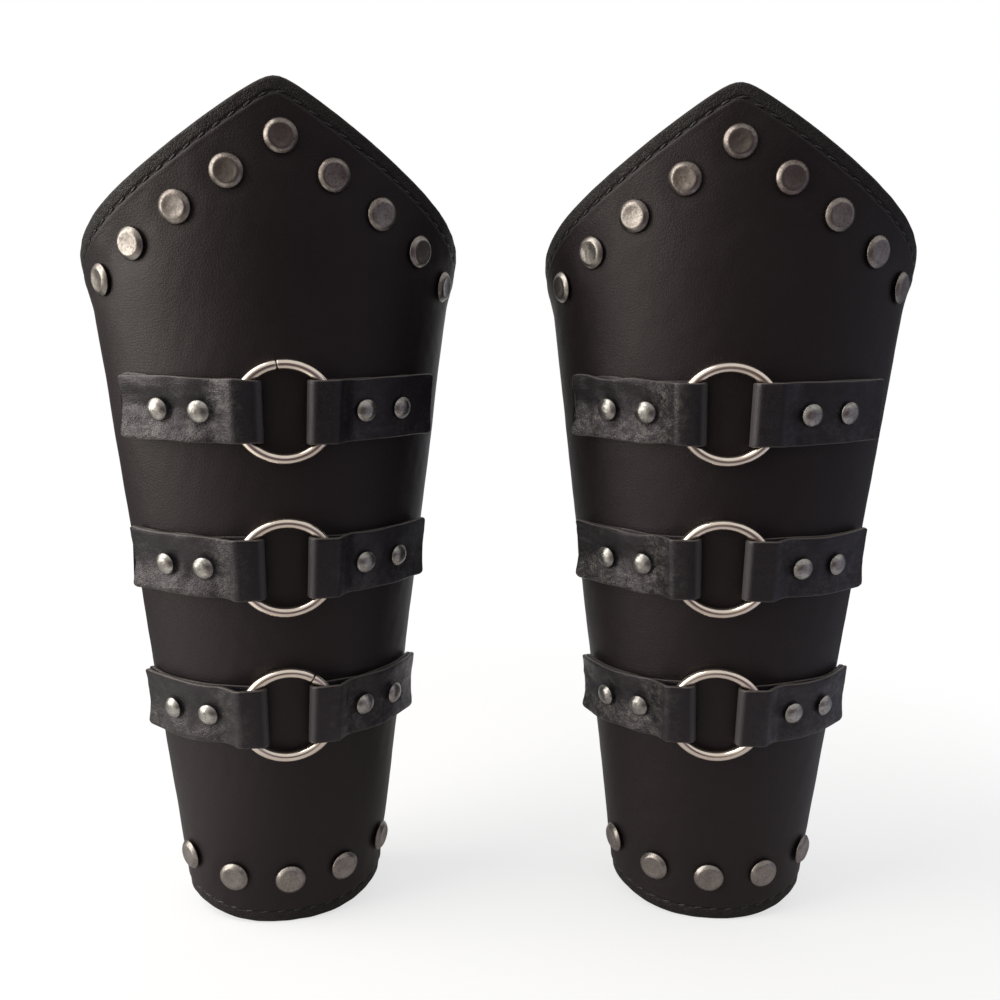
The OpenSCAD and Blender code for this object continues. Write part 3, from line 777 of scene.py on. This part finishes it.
def cap_tree():
    """Rivet caps: a polar grid raised to a crown with a flattened, dished top, closed underneath."""
    t, given, out = new_group("GeometryNodeTree", "Rivet caps", [
        (*GEOMETRY, None), ("Cap Diameter", NUMBER, CAP_D), ("Cap Height", NUMBER, CAP_H),
        ("Flat Cut", NUMBER, CAP_FLAT), ("Dish Diameter", NUMBER, DISH_D), ("Dish Depth", NUMBER, DISH_DEPTH),
        ("Rim Height", NUMBER, CAP_RIM), ("Unevenness", NUMBER, CAP_UNEVEN), MATERIAL], [GEOMETRY])
    rim_height = given["Rim Height"]
    grid = t.add("GeometryNodeMeshGrid", {
        "Size X": 1.0, "Size Y": 1.0, "Vertices X": CAP_GRID[0], "Vertices Y": CAP_GRID[1]})
    place = t.add("GeometryNodeInputPosition")
    turn = t.times(t.part(place, "X"), 2 * math.pi)

    # Each line of the grid runs from the middle of the top to the rim, and back to the middle underneath
    run = t.plus(t.part(place, "Y"), 0.5)
    top_share = t.over(run, CAP_TOP_PART)
    low_share = t.over(t.minus(1.0, run), 1 - CAP_TOP_PART)
    share = t.math("MAXIMUM", t.math("MINIMUM", t.math("MINIMUM", top_share, low_share), 1.0), 0.0)
    radius = t.times(given["Cap Diameter"], 0.5)
    r = t.times(share, radius)
    crown = t.minus(t.plus(given["Cap Height"], given["Flat Cut"]), rim_height)
    squares = t.plus(t.times(radius, radius), t.times(crown, crown))
    sphere_r = t.over(squares, t.times(crown, 2.0))
    reach_2 = t.minus(t.times(sphere_r, sphere_r), t.times(r, r))
    dome = t.minus(t.math("SQRT", reach_2), t.minus(sphere_r, crown))
    flat = t.minus(given["Cap Height"], rim_height)
    cut = t.math("SMOOTH_MIN", dome, flat, CROWN_BLEND)
    dish_share = t.over(r, t.times(given["Dish Diameter"], 0.5))
    dished = t.math("MAXIMUM", t.minus(1.0, t.math("POWER", dish_share, DISH_POWER)), 0.0)
    dish = t.times(dished, given["Dish Depth"])
    top = t.math("MAXIMUM", t.plus(t.minus(cut, dish), rim_height), 0.0)
    z = t.times(top, t.math("LESS_THAN", run, CAP_TOP_PART + 0.001))
    point = t.add("ShaderNodeCombineXYZ", {
        0: t.times(r, t.math("COSINE", turn)), 1: t.times(r, t.math("SINE", turn)), 2: z})
    disc = t.add("GeometryNodeSetPosition", {"Geometry": grid, "Position": point})
    shared = t.add("GeometryNodeStoreNamedAttribute", {"Geometry": disc, "Name": "share", "Value": share},
                   data_type="FLOAT", domain="POINT")
    cap = t.add("GeometryNodeMergeByDistance", {"Geometry": shared, "Distance": 0.000004})
    copies = t.add("GeometryNodeInstanceOnPoints", {
        "Points": given[0], "Instance": cap, "Rotation": facing_turn(t)})
    real = t.add("GeometryNodeRealizeInstances", {0: copies})
    bumps = t.noise(t.add("GeometryNodeInputPosition"), 600.0, 1.0)
    push = t.times(t.minus(bumps, 0.5), given["Unevenness"])
    moved = t.add("GeometryNodeSetPosition", {"Geometry": real, "Offset": t.scaled(facing(t), push)})
    close_tree(t, out, moved, given["Material"])
    return t.tree


def stitch_tree():
    """Stitches: slanted threads laid at an even pitch along a line, each sunk at its ends."""
    t, given, out = new_group("GeometryNodeTree", "Stitches", [
        (*GEOMETRY, None), ("Pitch", NUMBER, STITCH_PITCH), ("Stitch Length", NUMBER, STITCH_LENGTH),
        ("Thread Width", NUMBER, THREAD_W), ("Thread Height", NUMBER, THREAD_H), ("Slant", NUMBER, STITCH_SLANT),
        MATERIAL], [GEOMETRY])
    line = t.add("GeometryNodeMeshToCurve", {"Mesh": given[0]})
    spaced = t.add("GeometryNodeResampleCurve", {"Curve": line, "Length": given["Pitch"]},
                   mode="LENGTH")
    thread = t.add("GeometryNodeMeshUVSphere", {"Segments": 8, "Rings": 6, "Radius": 0.5})
    size = t.add("ShaderNodeCombineXYZ", {
        0: given["Stitch Length"], 1: given["Thread Width"], 2: given["Thread Height"]})
    stitch = t.add("GeometryNodeTransform", {
        "Geometry": thread, "Scale": size,
        "Rotation": t.add("ShaderNodeCombineXYZ", {2: given["Slant"]})})
    tangent = t.add("GeometryNodeInputTangent")
    copies = t.add("GeometryNodeInstanceOnPoints", {
        "Points": spaced, "Instance": stitch, "Rotation": facing_turn(t, tangent)})
    close_tree(t, out, copies, given["Material"])
    return t.tree


def grown(name, tree, seed_obj, values):
    """The plain mesh that the tree makes from seed_obj, which is then removed."""
    modifier = seed_obj.modifiers.new("grow", "NODES")
    modifier.node_group = tree
    for item in tree.interface.items_tree:
        if item.item_type == "SOCKET" and item.in_out == "INPUT" and item.name in values:
            modifier[item.identifier] = values[item.name]
    bpy.context.view_layer.update()
    evaluated = seed_obj.evaluated_get(bpy.context.evaluated_depsgraph_get())
    mesh = bpy.data.meshes.new_from_object(evaluated)
    mesh.name = name
    bpy.data.objects.remove(seed_obj)
    return new_object(name, mesh)


def seed_points(name, points, ways, edges=()):
    """Points that pieces grow from, with the way each piece faces."""
    mesh = bpy.data.meshes.new(name)
    mesh.from_pydata(points.tolist(), edges, [])
    set_values(mesh, "facing", ways)
    return new_object(name, mesh)


def caps(bracer, name, places, out, slot, material, node, **sizes):
    s, z = places.T
    seeds = seed_points(name + "_seeds", bracer.place(on_cone(s, z, out)), bracer.face(outward(angle_at(s, z))))
    values = {key.replace("_", " ").title(): value for key, value in sizes.items()} | {"Material": material}
    finish_piece(grown(name, CAP_TREE, seeds, values), bracer.body, slot, material, node)


def hem_line(out, lean):
    """The line of the hem's groove, once round the shell, and the way the shell faces along it."""
    grids = shell_grid([0, HEM_W], *STITCH_GRID, lean)[:2]
    s, z = (np.concatenate([grid[1:-1, 1], grid[-2, 2:-1], grid[-3:0:-1, -2], grid[1, -3:1:-1]]) for grid in grids)
    return on_cone(s, z, out + corner_swell(s, z, lean)), outward(angle_at(s, z))


def stitches(bracer):
    """Threads in the groove outside and, facing inwards, along the seam inside."""
    outer, way = hem_line(-HEM_PRESS - GROOVE_DEPTH + THREAD_H * THREAD_STAND, bracer.lean)
    inner, _ = hem_line(-WALL_T + THREAD_SINK, bracer.lean)
    loop = np.arange(len(outer))
    edges = np.stack([loop, np.roll(loop, -1)], -1)
    seeds = seed_points("stitch_line", bracer.place(np.concatenate([outer, inner])),
                        bracer.face(np.concatenate([way, -way])), [*edges.tolist(), *(edges + len(loop)).tolist()])
    threads = grown(f"{bracer.side}_stitching", STITCH_TREE, seeds, {"Material": waxed_thread})
    finish_piece(threads, bracer.body, "leather", waxed_thread)


# Effects that several materials share
VECTOR = ("Vector", "NodeSocketVector", None)
CELL_REACH = 0.22
CELL_STRETCH = 4.5
PORE_LEVEL = 0.66


def build_grain():
    """Leather's fine pebble with sunk pores, as a height."""
    t, given, out = new_group("ShaderNodeTree", "Leather grain", [
        VECTOR, ("Pebble Size", NUMBER, 0.0009), ("Pore Share", NUMBER, 0.3)], [("Height", NUMBER)])
    scale = t.over(1.0, given["Pebble Size"])
    warp = t.noise(given["Vector"], t.times(scale, 0.4), 2.0)
    bent = t.vector("ADD", given["Vector"], t.vector(
        "MULTIPLY", t.vector("SUBTRACT", warp.outputs["Color"], (0.5, 0.5, 0.5)), (0.0012, 0.0012, 0.0012)))
    cells = t.add("ShaderNodeTexVoronoi", {"Vector": bent, "Scale": scale}, feature="DISTANCE_TO_EDGE")
    pebbles = t.times(t.math("MINIMUM", cells.outputs["Distance"], CELL_REACH), CELL_STRETCH)
    fine = t.noise(bent, t.times(scale, 2.6), 3.0, 0.6)
    pores = t.math("GREATER_THAN", fine, PORE_LEVEL)
    height = t.plus(pebbles, t.times(fine, 0.8))
    t.put(out.inputs["Height"], t.minus(height, t.times(pores, given["Pore Share"])))
    return t.tree


def build_wear():
    """Soft blotches of worn and dull surface, and fine scratches, as masks."""
    t, given, out = new_group("ShaderNodeTree", "Wear", [
        VECTOR, ("Blotch Size", NUMBER, 0.03), ("Scratch Size", NUMBER, 0.004)],
        [("Blotches", NUMBER), ("Scratches", NUMBER)])
    blotch = t.noise(given["Vector"], t.over(1.0, given["Blotch Size"]), 4.0, 0.6)
    drawn_out = t.vector("MULTIPLY", given["Vector"], (1.0, 1.0, 0.16))
    scratch = t.noise(drawn_out, t.over(1.0, given["Scratch Size"]), 3.0, 0.7)
    t.put(out.inputs["Blotches"], t.ramp(blotch, 0.35, 0.68))
    t.put(out.inputs["Scratches"], t.ramp(scratch, 0.62, 0.72))
    return t.tree


def new_material(name, preview):
    material = bpy.data.materials.new(name)
    material.diffuse_color = (*preview, 1)
    t = cleared(material)
    shader = t.add("ShaderNodeBsdfPrincipled")
    t.add("ShaderNodeOutputMaterial", {0: shader})
    return material, t, shader


def place_group(t, group, **inputs):
    """The group's node, with its outputs, for inputs named in small letters."""
    named = {key.replace("_", " ").title(): value for key, value in inputs.items()}
    return t.add("ShaderNodeGroup", named, node_tree=group).outputs


def attribute(t, name, output="Fac"):
    return t.add("ShaderNodeAttribute", attribute_name=name).outputs[output]


def bump(t, height, distance, **inputs):
    return t.add("ShaderNodeBump", {"Height": height, "Distance": distance} | inputs).outputs[0]


def object_place(t):
    return t.add("ShaderNodeTexCoord").outputs["Object"]


def build_shell_leather():
    """Smooth black leather; its pressed hem is duller and speckled, and its cut edge is raw."""
    plain, plain_lit = (0.0061, 0.0029, 0.0038), (0.0075, 0.0043, 0.0052)
    hem, hem_lit, raw_leather = (0.0022, 0.0014, 0.0016), (0.0075, 0.0062, 0.0060), (0.022, 0.017, 0.014)
    material, t, shader = new_material("Black shell leather", (0.02, 0.02, 0.02))
    place = object_place(t)
    grain = place_group(t, GRAIN, vector=place, pebble_size=0.0009, pore_share=0.3)
    wear = place_group(t, WEAR, vector=place, blotch_size=0.045, scratch_size=0.006)
    spots = place_group(t, WEAR, vector=place, blotch_size=0.0022, scratch_size=0.002)["Blotches"]
    edge = attribute(t, "edge")
    on_hem = t.minus(1.0, t.ramp(edge, HEM_W - GROOVE_W / 2, HEM_W + GROOVE_W / 2))
    raw = t.minus(1.0, t.ramp(edge, 0.0, EDGE_ROUND * 0.6))
    color = t.tint(wear["Blotches"], plain, plain_lit)
    color = t.tint(on_hem, color, t.tint(spots, hem, hem_lit))
    rough = t.blend(wear["Blotches"], 0.46, 0.53)
    rough = t.plus(rough, t.times(wear["Scratches"], 0.05))
    rough = t.blend(on_hem, rough, t.blend(spots, 0.66, 0.48))
    grain_height = t.times(grain["Height"], t.blend(on_hem, 0.5, 1.7))
    t.fill(shader, {
        "Base Color": t.tint(t.times(raw, 0.7), color, raw_leather),
        "Roughness": t.blend(raw, rough, 0.75), "Normal": bump(t, grain_height, 0.00006),
        "Specular IOR Level": 0.40, "Specular Tint": (1.0, 0.93, 0.93, 1),
        "Sheen Weight": 0.02, "Sheen Roughness": 0.25})
    return material


def build_strap_leather():
    """Thin black leather, worn and flecked where it is puckered; that pale colour is partly wear and partly a
    painted highlight where the strap tilts towards the lamp. A painted highlight, partly wear, lies along its fold,
    and it is paler along its cut edges.
    """
    # The pale worn colour below is partly wear and partly a painted highlight
    plain, plain_lit, wear_and_highlight_color = (0.0038, 0.0033, 0.0052), (0.0056, 0.0050, 0.0062), (0.108, 0.102, 0.092)
    # The fold colour is a painted highlight on the fold's curve, partly also wear
    fold, cut = (0.075, 0.070, 0.070), (0.075, 0.066, 0.060)
    material, t, shader = new_material("Black strap leather", (0.02, 0.02, 0.022))
    place = object_place(t)
    grain = place_group(t, GRAIN, vector=place, pebble_size=0.0008, pore_share=0.5)
    blotches = place_group(t, WEAR, vector=place, blotch_size=0.0042, scratch_size=0.0016)["Blotches"]
    worked = attribute(t, "worked")
    fine = t.noise(t.vector("MULTIPLY", attribute(t, "lay", "Vector"), (0.7, 1.0, 1.0)), 720.0, 4.0, 0.7)
    flecks = t.ramp(fine, 0.42, 0.60)
    patches = t.plus(t.times(blotches, 0.6), t.times(flecks, 0.55))
    color = t.tint(blotches, plain, plain_lit)
    # Pale worn colour with a painted highlight, where the strap is puckered and tilts towards the lamp
    color = t.tint(t.times(worked, t.times(patches, patches)), color, wear_and_highlight_color)
    # Painted highlight along the fold
    color = t.tint(attribute(t, "fold"), color, fold)
    rough = t.blend(worked, 0.40, 0.33)
    pebbled = bump(t, t.times(grain["Height"], t.blend(worked, 0.4, 0.8)), 0.00008)
    t.fill(shader, {
        "Base Color": t.tint(attribute(t, "cut"), color, cut),
        "Roughness": t.plus(rough, t.times(t.minus(0.5, patches), 0.2)),
        "Normal": bump(t, t.times(fine, worked), 0.0002, Normal=pebbled),
        "Specular IOR Level": 0.5, "Specular Tint": (1.0, 0.9, 0.98, 1)})
    return material


def build_suede():
    """Dark nap with faint blotches."""
    deep, plain, brushed = (0.026, 0.022, 0.020), (0.042, 0.037, 0.034), (0.055, 0.049, 0.045)
    material, t, shader = new_material("Dark suede", (0.04, 0.035, 0.03))
    place = object_place(t)
    blotches = place_group(t, WEAR, vector=place, blotch_size=0.025, scratch_size=0.01)["Blotches"]
    nap = t.noise(place, 2200.0, 3.0, 0.7)
    t.fill(shader, {
        "Base Color": t.tint(nap, t.tint(blotches, deep, plain), brushed),
        "Normal": bump(t, nap, 0.0003), "Roughness": 0.95, "Sheen Weight": 0.25, "Sheen Roughness": 0.5})
    return material


def build_metal(name, bright, dark, rough, patina, pit_depth, deepened=None):
    """A metal under a dark patina in specks and blotches, which deepened may add to; for the caps it adds painted
    shade as well as patina.
    """
    material, t, shader = new_material(name, bright)
    place = object_place(t)
    blotches = place_group(t, WEAR, vector=place, blotch_size=0.0035, scratch_size=0.0008)["Blotches"]
    speck = t.noise(place, 1500.0, 3.0, 0.7)
    specks = t.ramp(speck, 0.45, 0.68)
    mask = t.times(t.plus(t.times(specks, 0.6), t.times(blotches, 0.5)),
                  patina, clamp=True)
    t.fill(shader, {
        "Metallic": 1.0, "Base Color": t.tint(deepened(t, mask) if deepened else mask, bright, dark),
        "Roughness": t.plus(rough, t.times(mask, 0.18)), "Normal": bump(t, speck, pit_depth)})
    return material


def cap_patina_and_painted_shade(t, mask):
    """Dark colour in the dish, partly patina and partly painted dark reflection, painted darker still on the caps
    near the peak; the colour is also darker round the rim's edge.
    """
    share = attribute(t, "share")
    dish = t.minus(1.0, t.ramp(share, 0.42, 0.80))
    low = t.ramp(share, 0.95, 1.0)
    # Painted shade: caps nearer the peak mirror the dark room in front, so their dish is painted darker
    painted_shade_near_peak = t.ramp(t.part(object_place(t), "Z"), 0.214, 0.238)
    deep = t.times(dish, t.blend(painted_shade_near_peak, 0.52, 0.90))
    return t.plus(deep, t.plus(t.times(mask, 0.42), low), clamp=True)


def build_ring_metal():
    """Polished wire, a little dulled in blotches and dark in its seam."""
    bright, dull, seam_dirt = (0.87, 0.79, 0.70), (0.78, 0.68, 0.59), (0.05, 0.035, 0.03)
    material, t, shader = new_material("Polished nickel wire", (0.8, 0.74, 0.7))
    wear = place_group(t, WEAR, vector=object_place(t), blotch_size=0.006, scratch_size=0.0007)
    color = t.tint(wear["Blotches"], bright, dull)
    rough = t.blend(wear["Blotches"], 0.17, 0.23)
    t.fill(shader, {
        "Metallic": 1.0, "Base Color": t.tint(attribute(t, "seam"), color, seam_dirt),
        "Roughness": t.plus(rough, t.times(wear["Scratches"], 0.08))})
    return material


def build_thread():
    material, t, shader = new_material("Waxed thread", (0.06, 0.05, 0.05))
    twist = t.noise(object_place(t), 2500.0, 2.0)
    t.fill(shader, {
        "Base Color": t.tint(twist, (0.010, 0.008, 0.010), (0.034, 0.029, 0.036)),
        "Roughness": 0.36, "Normal": bump(t, twist, 0.0002)})
    return material


# Studio: camera, floor, world and lamp
CAMERA_PLACE = (-0.0098, -0.3643, 0.1888)
CAMERA_PITCH = 0.1384
CAMERA_PAN = -0.0274
CAMERA_ROLL = -0.008
FOCAL_SHARE = 1.1073
SENSOR_W = 36.0
FLOOR_HALF = 4.0
WHITE = (1.0, 1.0, 1.0)


def set_camera():
    data = bpy.data.cameras.new("camera")
    data.sensor_width = SENSOR_W
    data.lens = SENSOR_W * FOCAL_SHARE
    data.clip_start = 0.01
    camera = new_object("camera", data)
    turned = (Matrix.Rotation(CAMERA_PAN, 3, "Z") @ Matrix.Rotation(-CAMERA_PITCH, 3, "X")
              @ Matrix.Rotation(CAMERA_ROLL, 3, "Y"))
    right, forward, up = (turned.col[i] for i in range(3))
    camera.matrix_world = Matrix((right, up, -forward)).transposed().to_4x4()
    camera.location = CAMERA_PLACE
    bpy.context.scene.camera = camera


def add_lamp(name, place, target, size, power, color):
    data = bpy.data.lights.new(name, "AREA")
    data.shape = "RECTANGLE"
    data.size, data.size_y = size
    data.energy = power
    data.color = color
    lamp = new_object(name, data)
    lamp.location = place
    lamp.rotation_euler = (Vector(target) - Vector(place)).to_track_quat("-Z", "Y").to_euler()


# The room as the object mirrors it: degrees from the camera's side, to the right, and the colour there
ROOM = (
    (-180, (0.86, 0.86, 0.86)), (-160, (0.80, 0.80, 0.78)), (-142, (0.12, 0.11, 0.11)), (-118, (0.12, 0.12, 0.11)),
    (-95, (0.42, 0.41, 0.38)), (-74, (1.15, 1.12, 1.03)), (-44, (1.45, 1.38, 1.27)), (-20, (0.32, 0.27, 0.24)),
    (8, (0.06, 0.038, 0.040)), (32, (0.20, 0.155, 0.185)), (56, (0.36, 0.34, 0.39)), (88, (0.32, 0.32, 0.38)),
    (112, (0.24, 0.24, 0.29)), (134, (0.04, 0.04, 0.05)), (154, (0.84, 0.85, 0.88)), (180, (0.86, 0.86, 0.86)))


def build_room():
    """Colour of the room along the horizon, by the direction or place it is looked at in."""
    t, given, out = new_group("ShaderNodeTree", "Room", [("Vector", "NodeSocketVector", None)], [
        ("Color", "NodeSocketColor")])
    turn = t.math("ARCTAN2", t.part(given["Vector"], "X"), t.times(t.part(given["Vector"], "Y"), -1.0))
    ramp = t.add("ShaderNodeValToRGB", {0: t.plus(t.over(turn, 2 * math.pi), 0.5)})
    for k, (angle, color) in enumerate(ROOM):
        stops = ramp.color_ramp.elements
        stop = stops[k] if k < len(stops) - 1 else stops.new(angle / 360 + 0.5)
        stop.position, stop.color = angle / 360 + 0.5, (*color, 1)
    t.put(out.inputs["Color"], ramp)
    return t.tree


def set_floor():
    """White to the camera, with the object's shadow; the object mirrors it as the room, darker close by."""
    lit_paint, far_paint, lit_white = (0.35, 0.35, 0.35), (0.02, 0.02, 0.02), (0.66, 0.66, 0.66)
    mirrored_near, unlit = (0.20, 0.17, 0.165), (0.0, 0.0, 0.0)
    mesh = bpy.data.meshes.new("floor")
    corners = [(x * FLOOR_HALF, y * FLOOR_HALF, 0) for x, y in ((-1, -1), (1, -1), (1, 1), (-1, 1))]
    mesh.from_pydata(corners, [], [(0, 1, 2, 3)])
    floor = new_object("floor", mesh)
    material = bpy.data.materials.new("Pale floor")
    t = cleared(material)
    path = t.add("ShaderNodeLightPath").outputs
    place = object_place(t)
    reach = t.vector("LENGTH", place)
    away = t.ramp(reach, 0.17, 0.42, interpolation_type="SMOOTHSTEP")
    near = t.ramp(reach, 0.19, 0.11)
    kept = t.ramp(t.part(place, "X"), -0.22, 0.10, 0.55, 0.85)
    room = t.scaled(place_group(t, ROOM_GROUP, vector=place)[0], kept)
    shown = t.tint(path["Is Glossy Ray"], unlit, t.tint(near, room, mirrored_near))
    seen = t.tint(away, lit_white, WHITE)
    paint_color = t.tint(away, lit_paint, far_paint)
    diffuse = t.add("ShaderNodeBsdfDiffuse", {"Color": paint_color})
    glow = t.add("ShaderNodeEmission", {
        "Color": t.tint(path["Is Camera Ray"], shown, seen), "Strength": 1.0})
    both = t.add("ShaderNodeAddShader", {0: diffuse, 1: glow})
    t.add("ShaderNodeOutputMaterial", {0: both})
    mesh.materials.append(material)


def set_world():
    """White to the camera; the object mirrors a room that is bright behind, above and to the left of its front."""
    ceiling, soft_light = (0.72, 0.70, 0.68), (0.55, 0.55, 0.56)
    world = bpy.data.worlds.new("room")
    bpy.context.scene.world = world
    t = cleared(world)
    path = t.add("ShaderNodeLightPath").outputs
    way = t.add("ShaderNodeTexCoord").outputs["Generated"]
    above = t.ramp(t.part(way, "Z"), 0.22, 0.5)
    room = t.tint(above, place_group(t, ROOM_GROUP, vector=way)[0], ceiling)
    mirrored = t.math("MAXIMUM", path["Is Glossy Ray"], path["Is Transmission Ray"])
    color = t.tint(path["Is Camera Ray"], t.tint(mirrored, soft_light, room), WHITE)
    sky = t.add("ShaderNodeBackground", {"Color": color, "Strength": 1.0})
    t.add("ShaderNodeOutputWorld", {0: sky})


bpy.context.scene.view_settings.view_transform = "Standard"
ROOM_GROUP = build_room()
set_camera()
set_world()
set_floor()
add_lamp("window", (-0.84, -0.24, 0.60), (0, 0, 0.14), (0.85, 1.5), 14.5, (1.0, 0.97, 0.90))

GRAIN = build_grain()
WEAR = build_wear()
shell_leather = build_shell_leather()
strap_leather = build_strap_leather()
suede = build_suede()
cap_metal = build_metal(
    "Antique nickel caps", (0.45, 0.430, 0.400), (0.077, 0.046, 0.040), 0.30, 1.0, 0.00003, cap_patina_and_painted_shade)
small_cap_metal = build_metal(
    "Antique pewter caps", (0.44, 0.425, 0.405), (0.10, 0.088, 0.080), 0.27, 0.8, 0.00005)
plain_metal = build_metal("Satin antique nickel", (0.50, 0.48, 0.46), (0.10, 0.085, 0.08), 0.30, 0.8, 0.00003)
ring_nickel = build_ring_metal()
waxed_thread = build_thread()
CAP_TREE = cap_tree()
STITCH_TREE = stitch_tree()


def dress(bracer):
    outer_shell(bracer)
    lining(bracer)
    stitches(bracer)
    for row in ROWS:
        wire_ring(bracer, row)
        for half in HALVES:
            strap_half(bracer, row, half)
    side = bracer.side
    for name, places in (("peak", peak_row()), ("cuff", cuff_row())):
        caps(bracer, f"{side}_{name}_caps", places, SEAT_GAP, "gunmetal", cap_metal, f"{side}_{name}_rivet_caps")
    caps(bracer, f"{side}_strap_caps", strap_rivets(bracer), STRAP_TOP + SEAT_GAP, "pewter", small_cap_metal,
         f"{side}_strap_rivet_caps", **SMALL_CAP)
    for node in ("peak_rivet_backs", "cuff_rivet_backs", "strap_rivet_backs", "eyelets", "eyelet_washers"):
        paint(frame["nodes"][f"{side}_{node}"], plain_metal)


for one_side in SIDES:
    dress(Bracer(one_side))
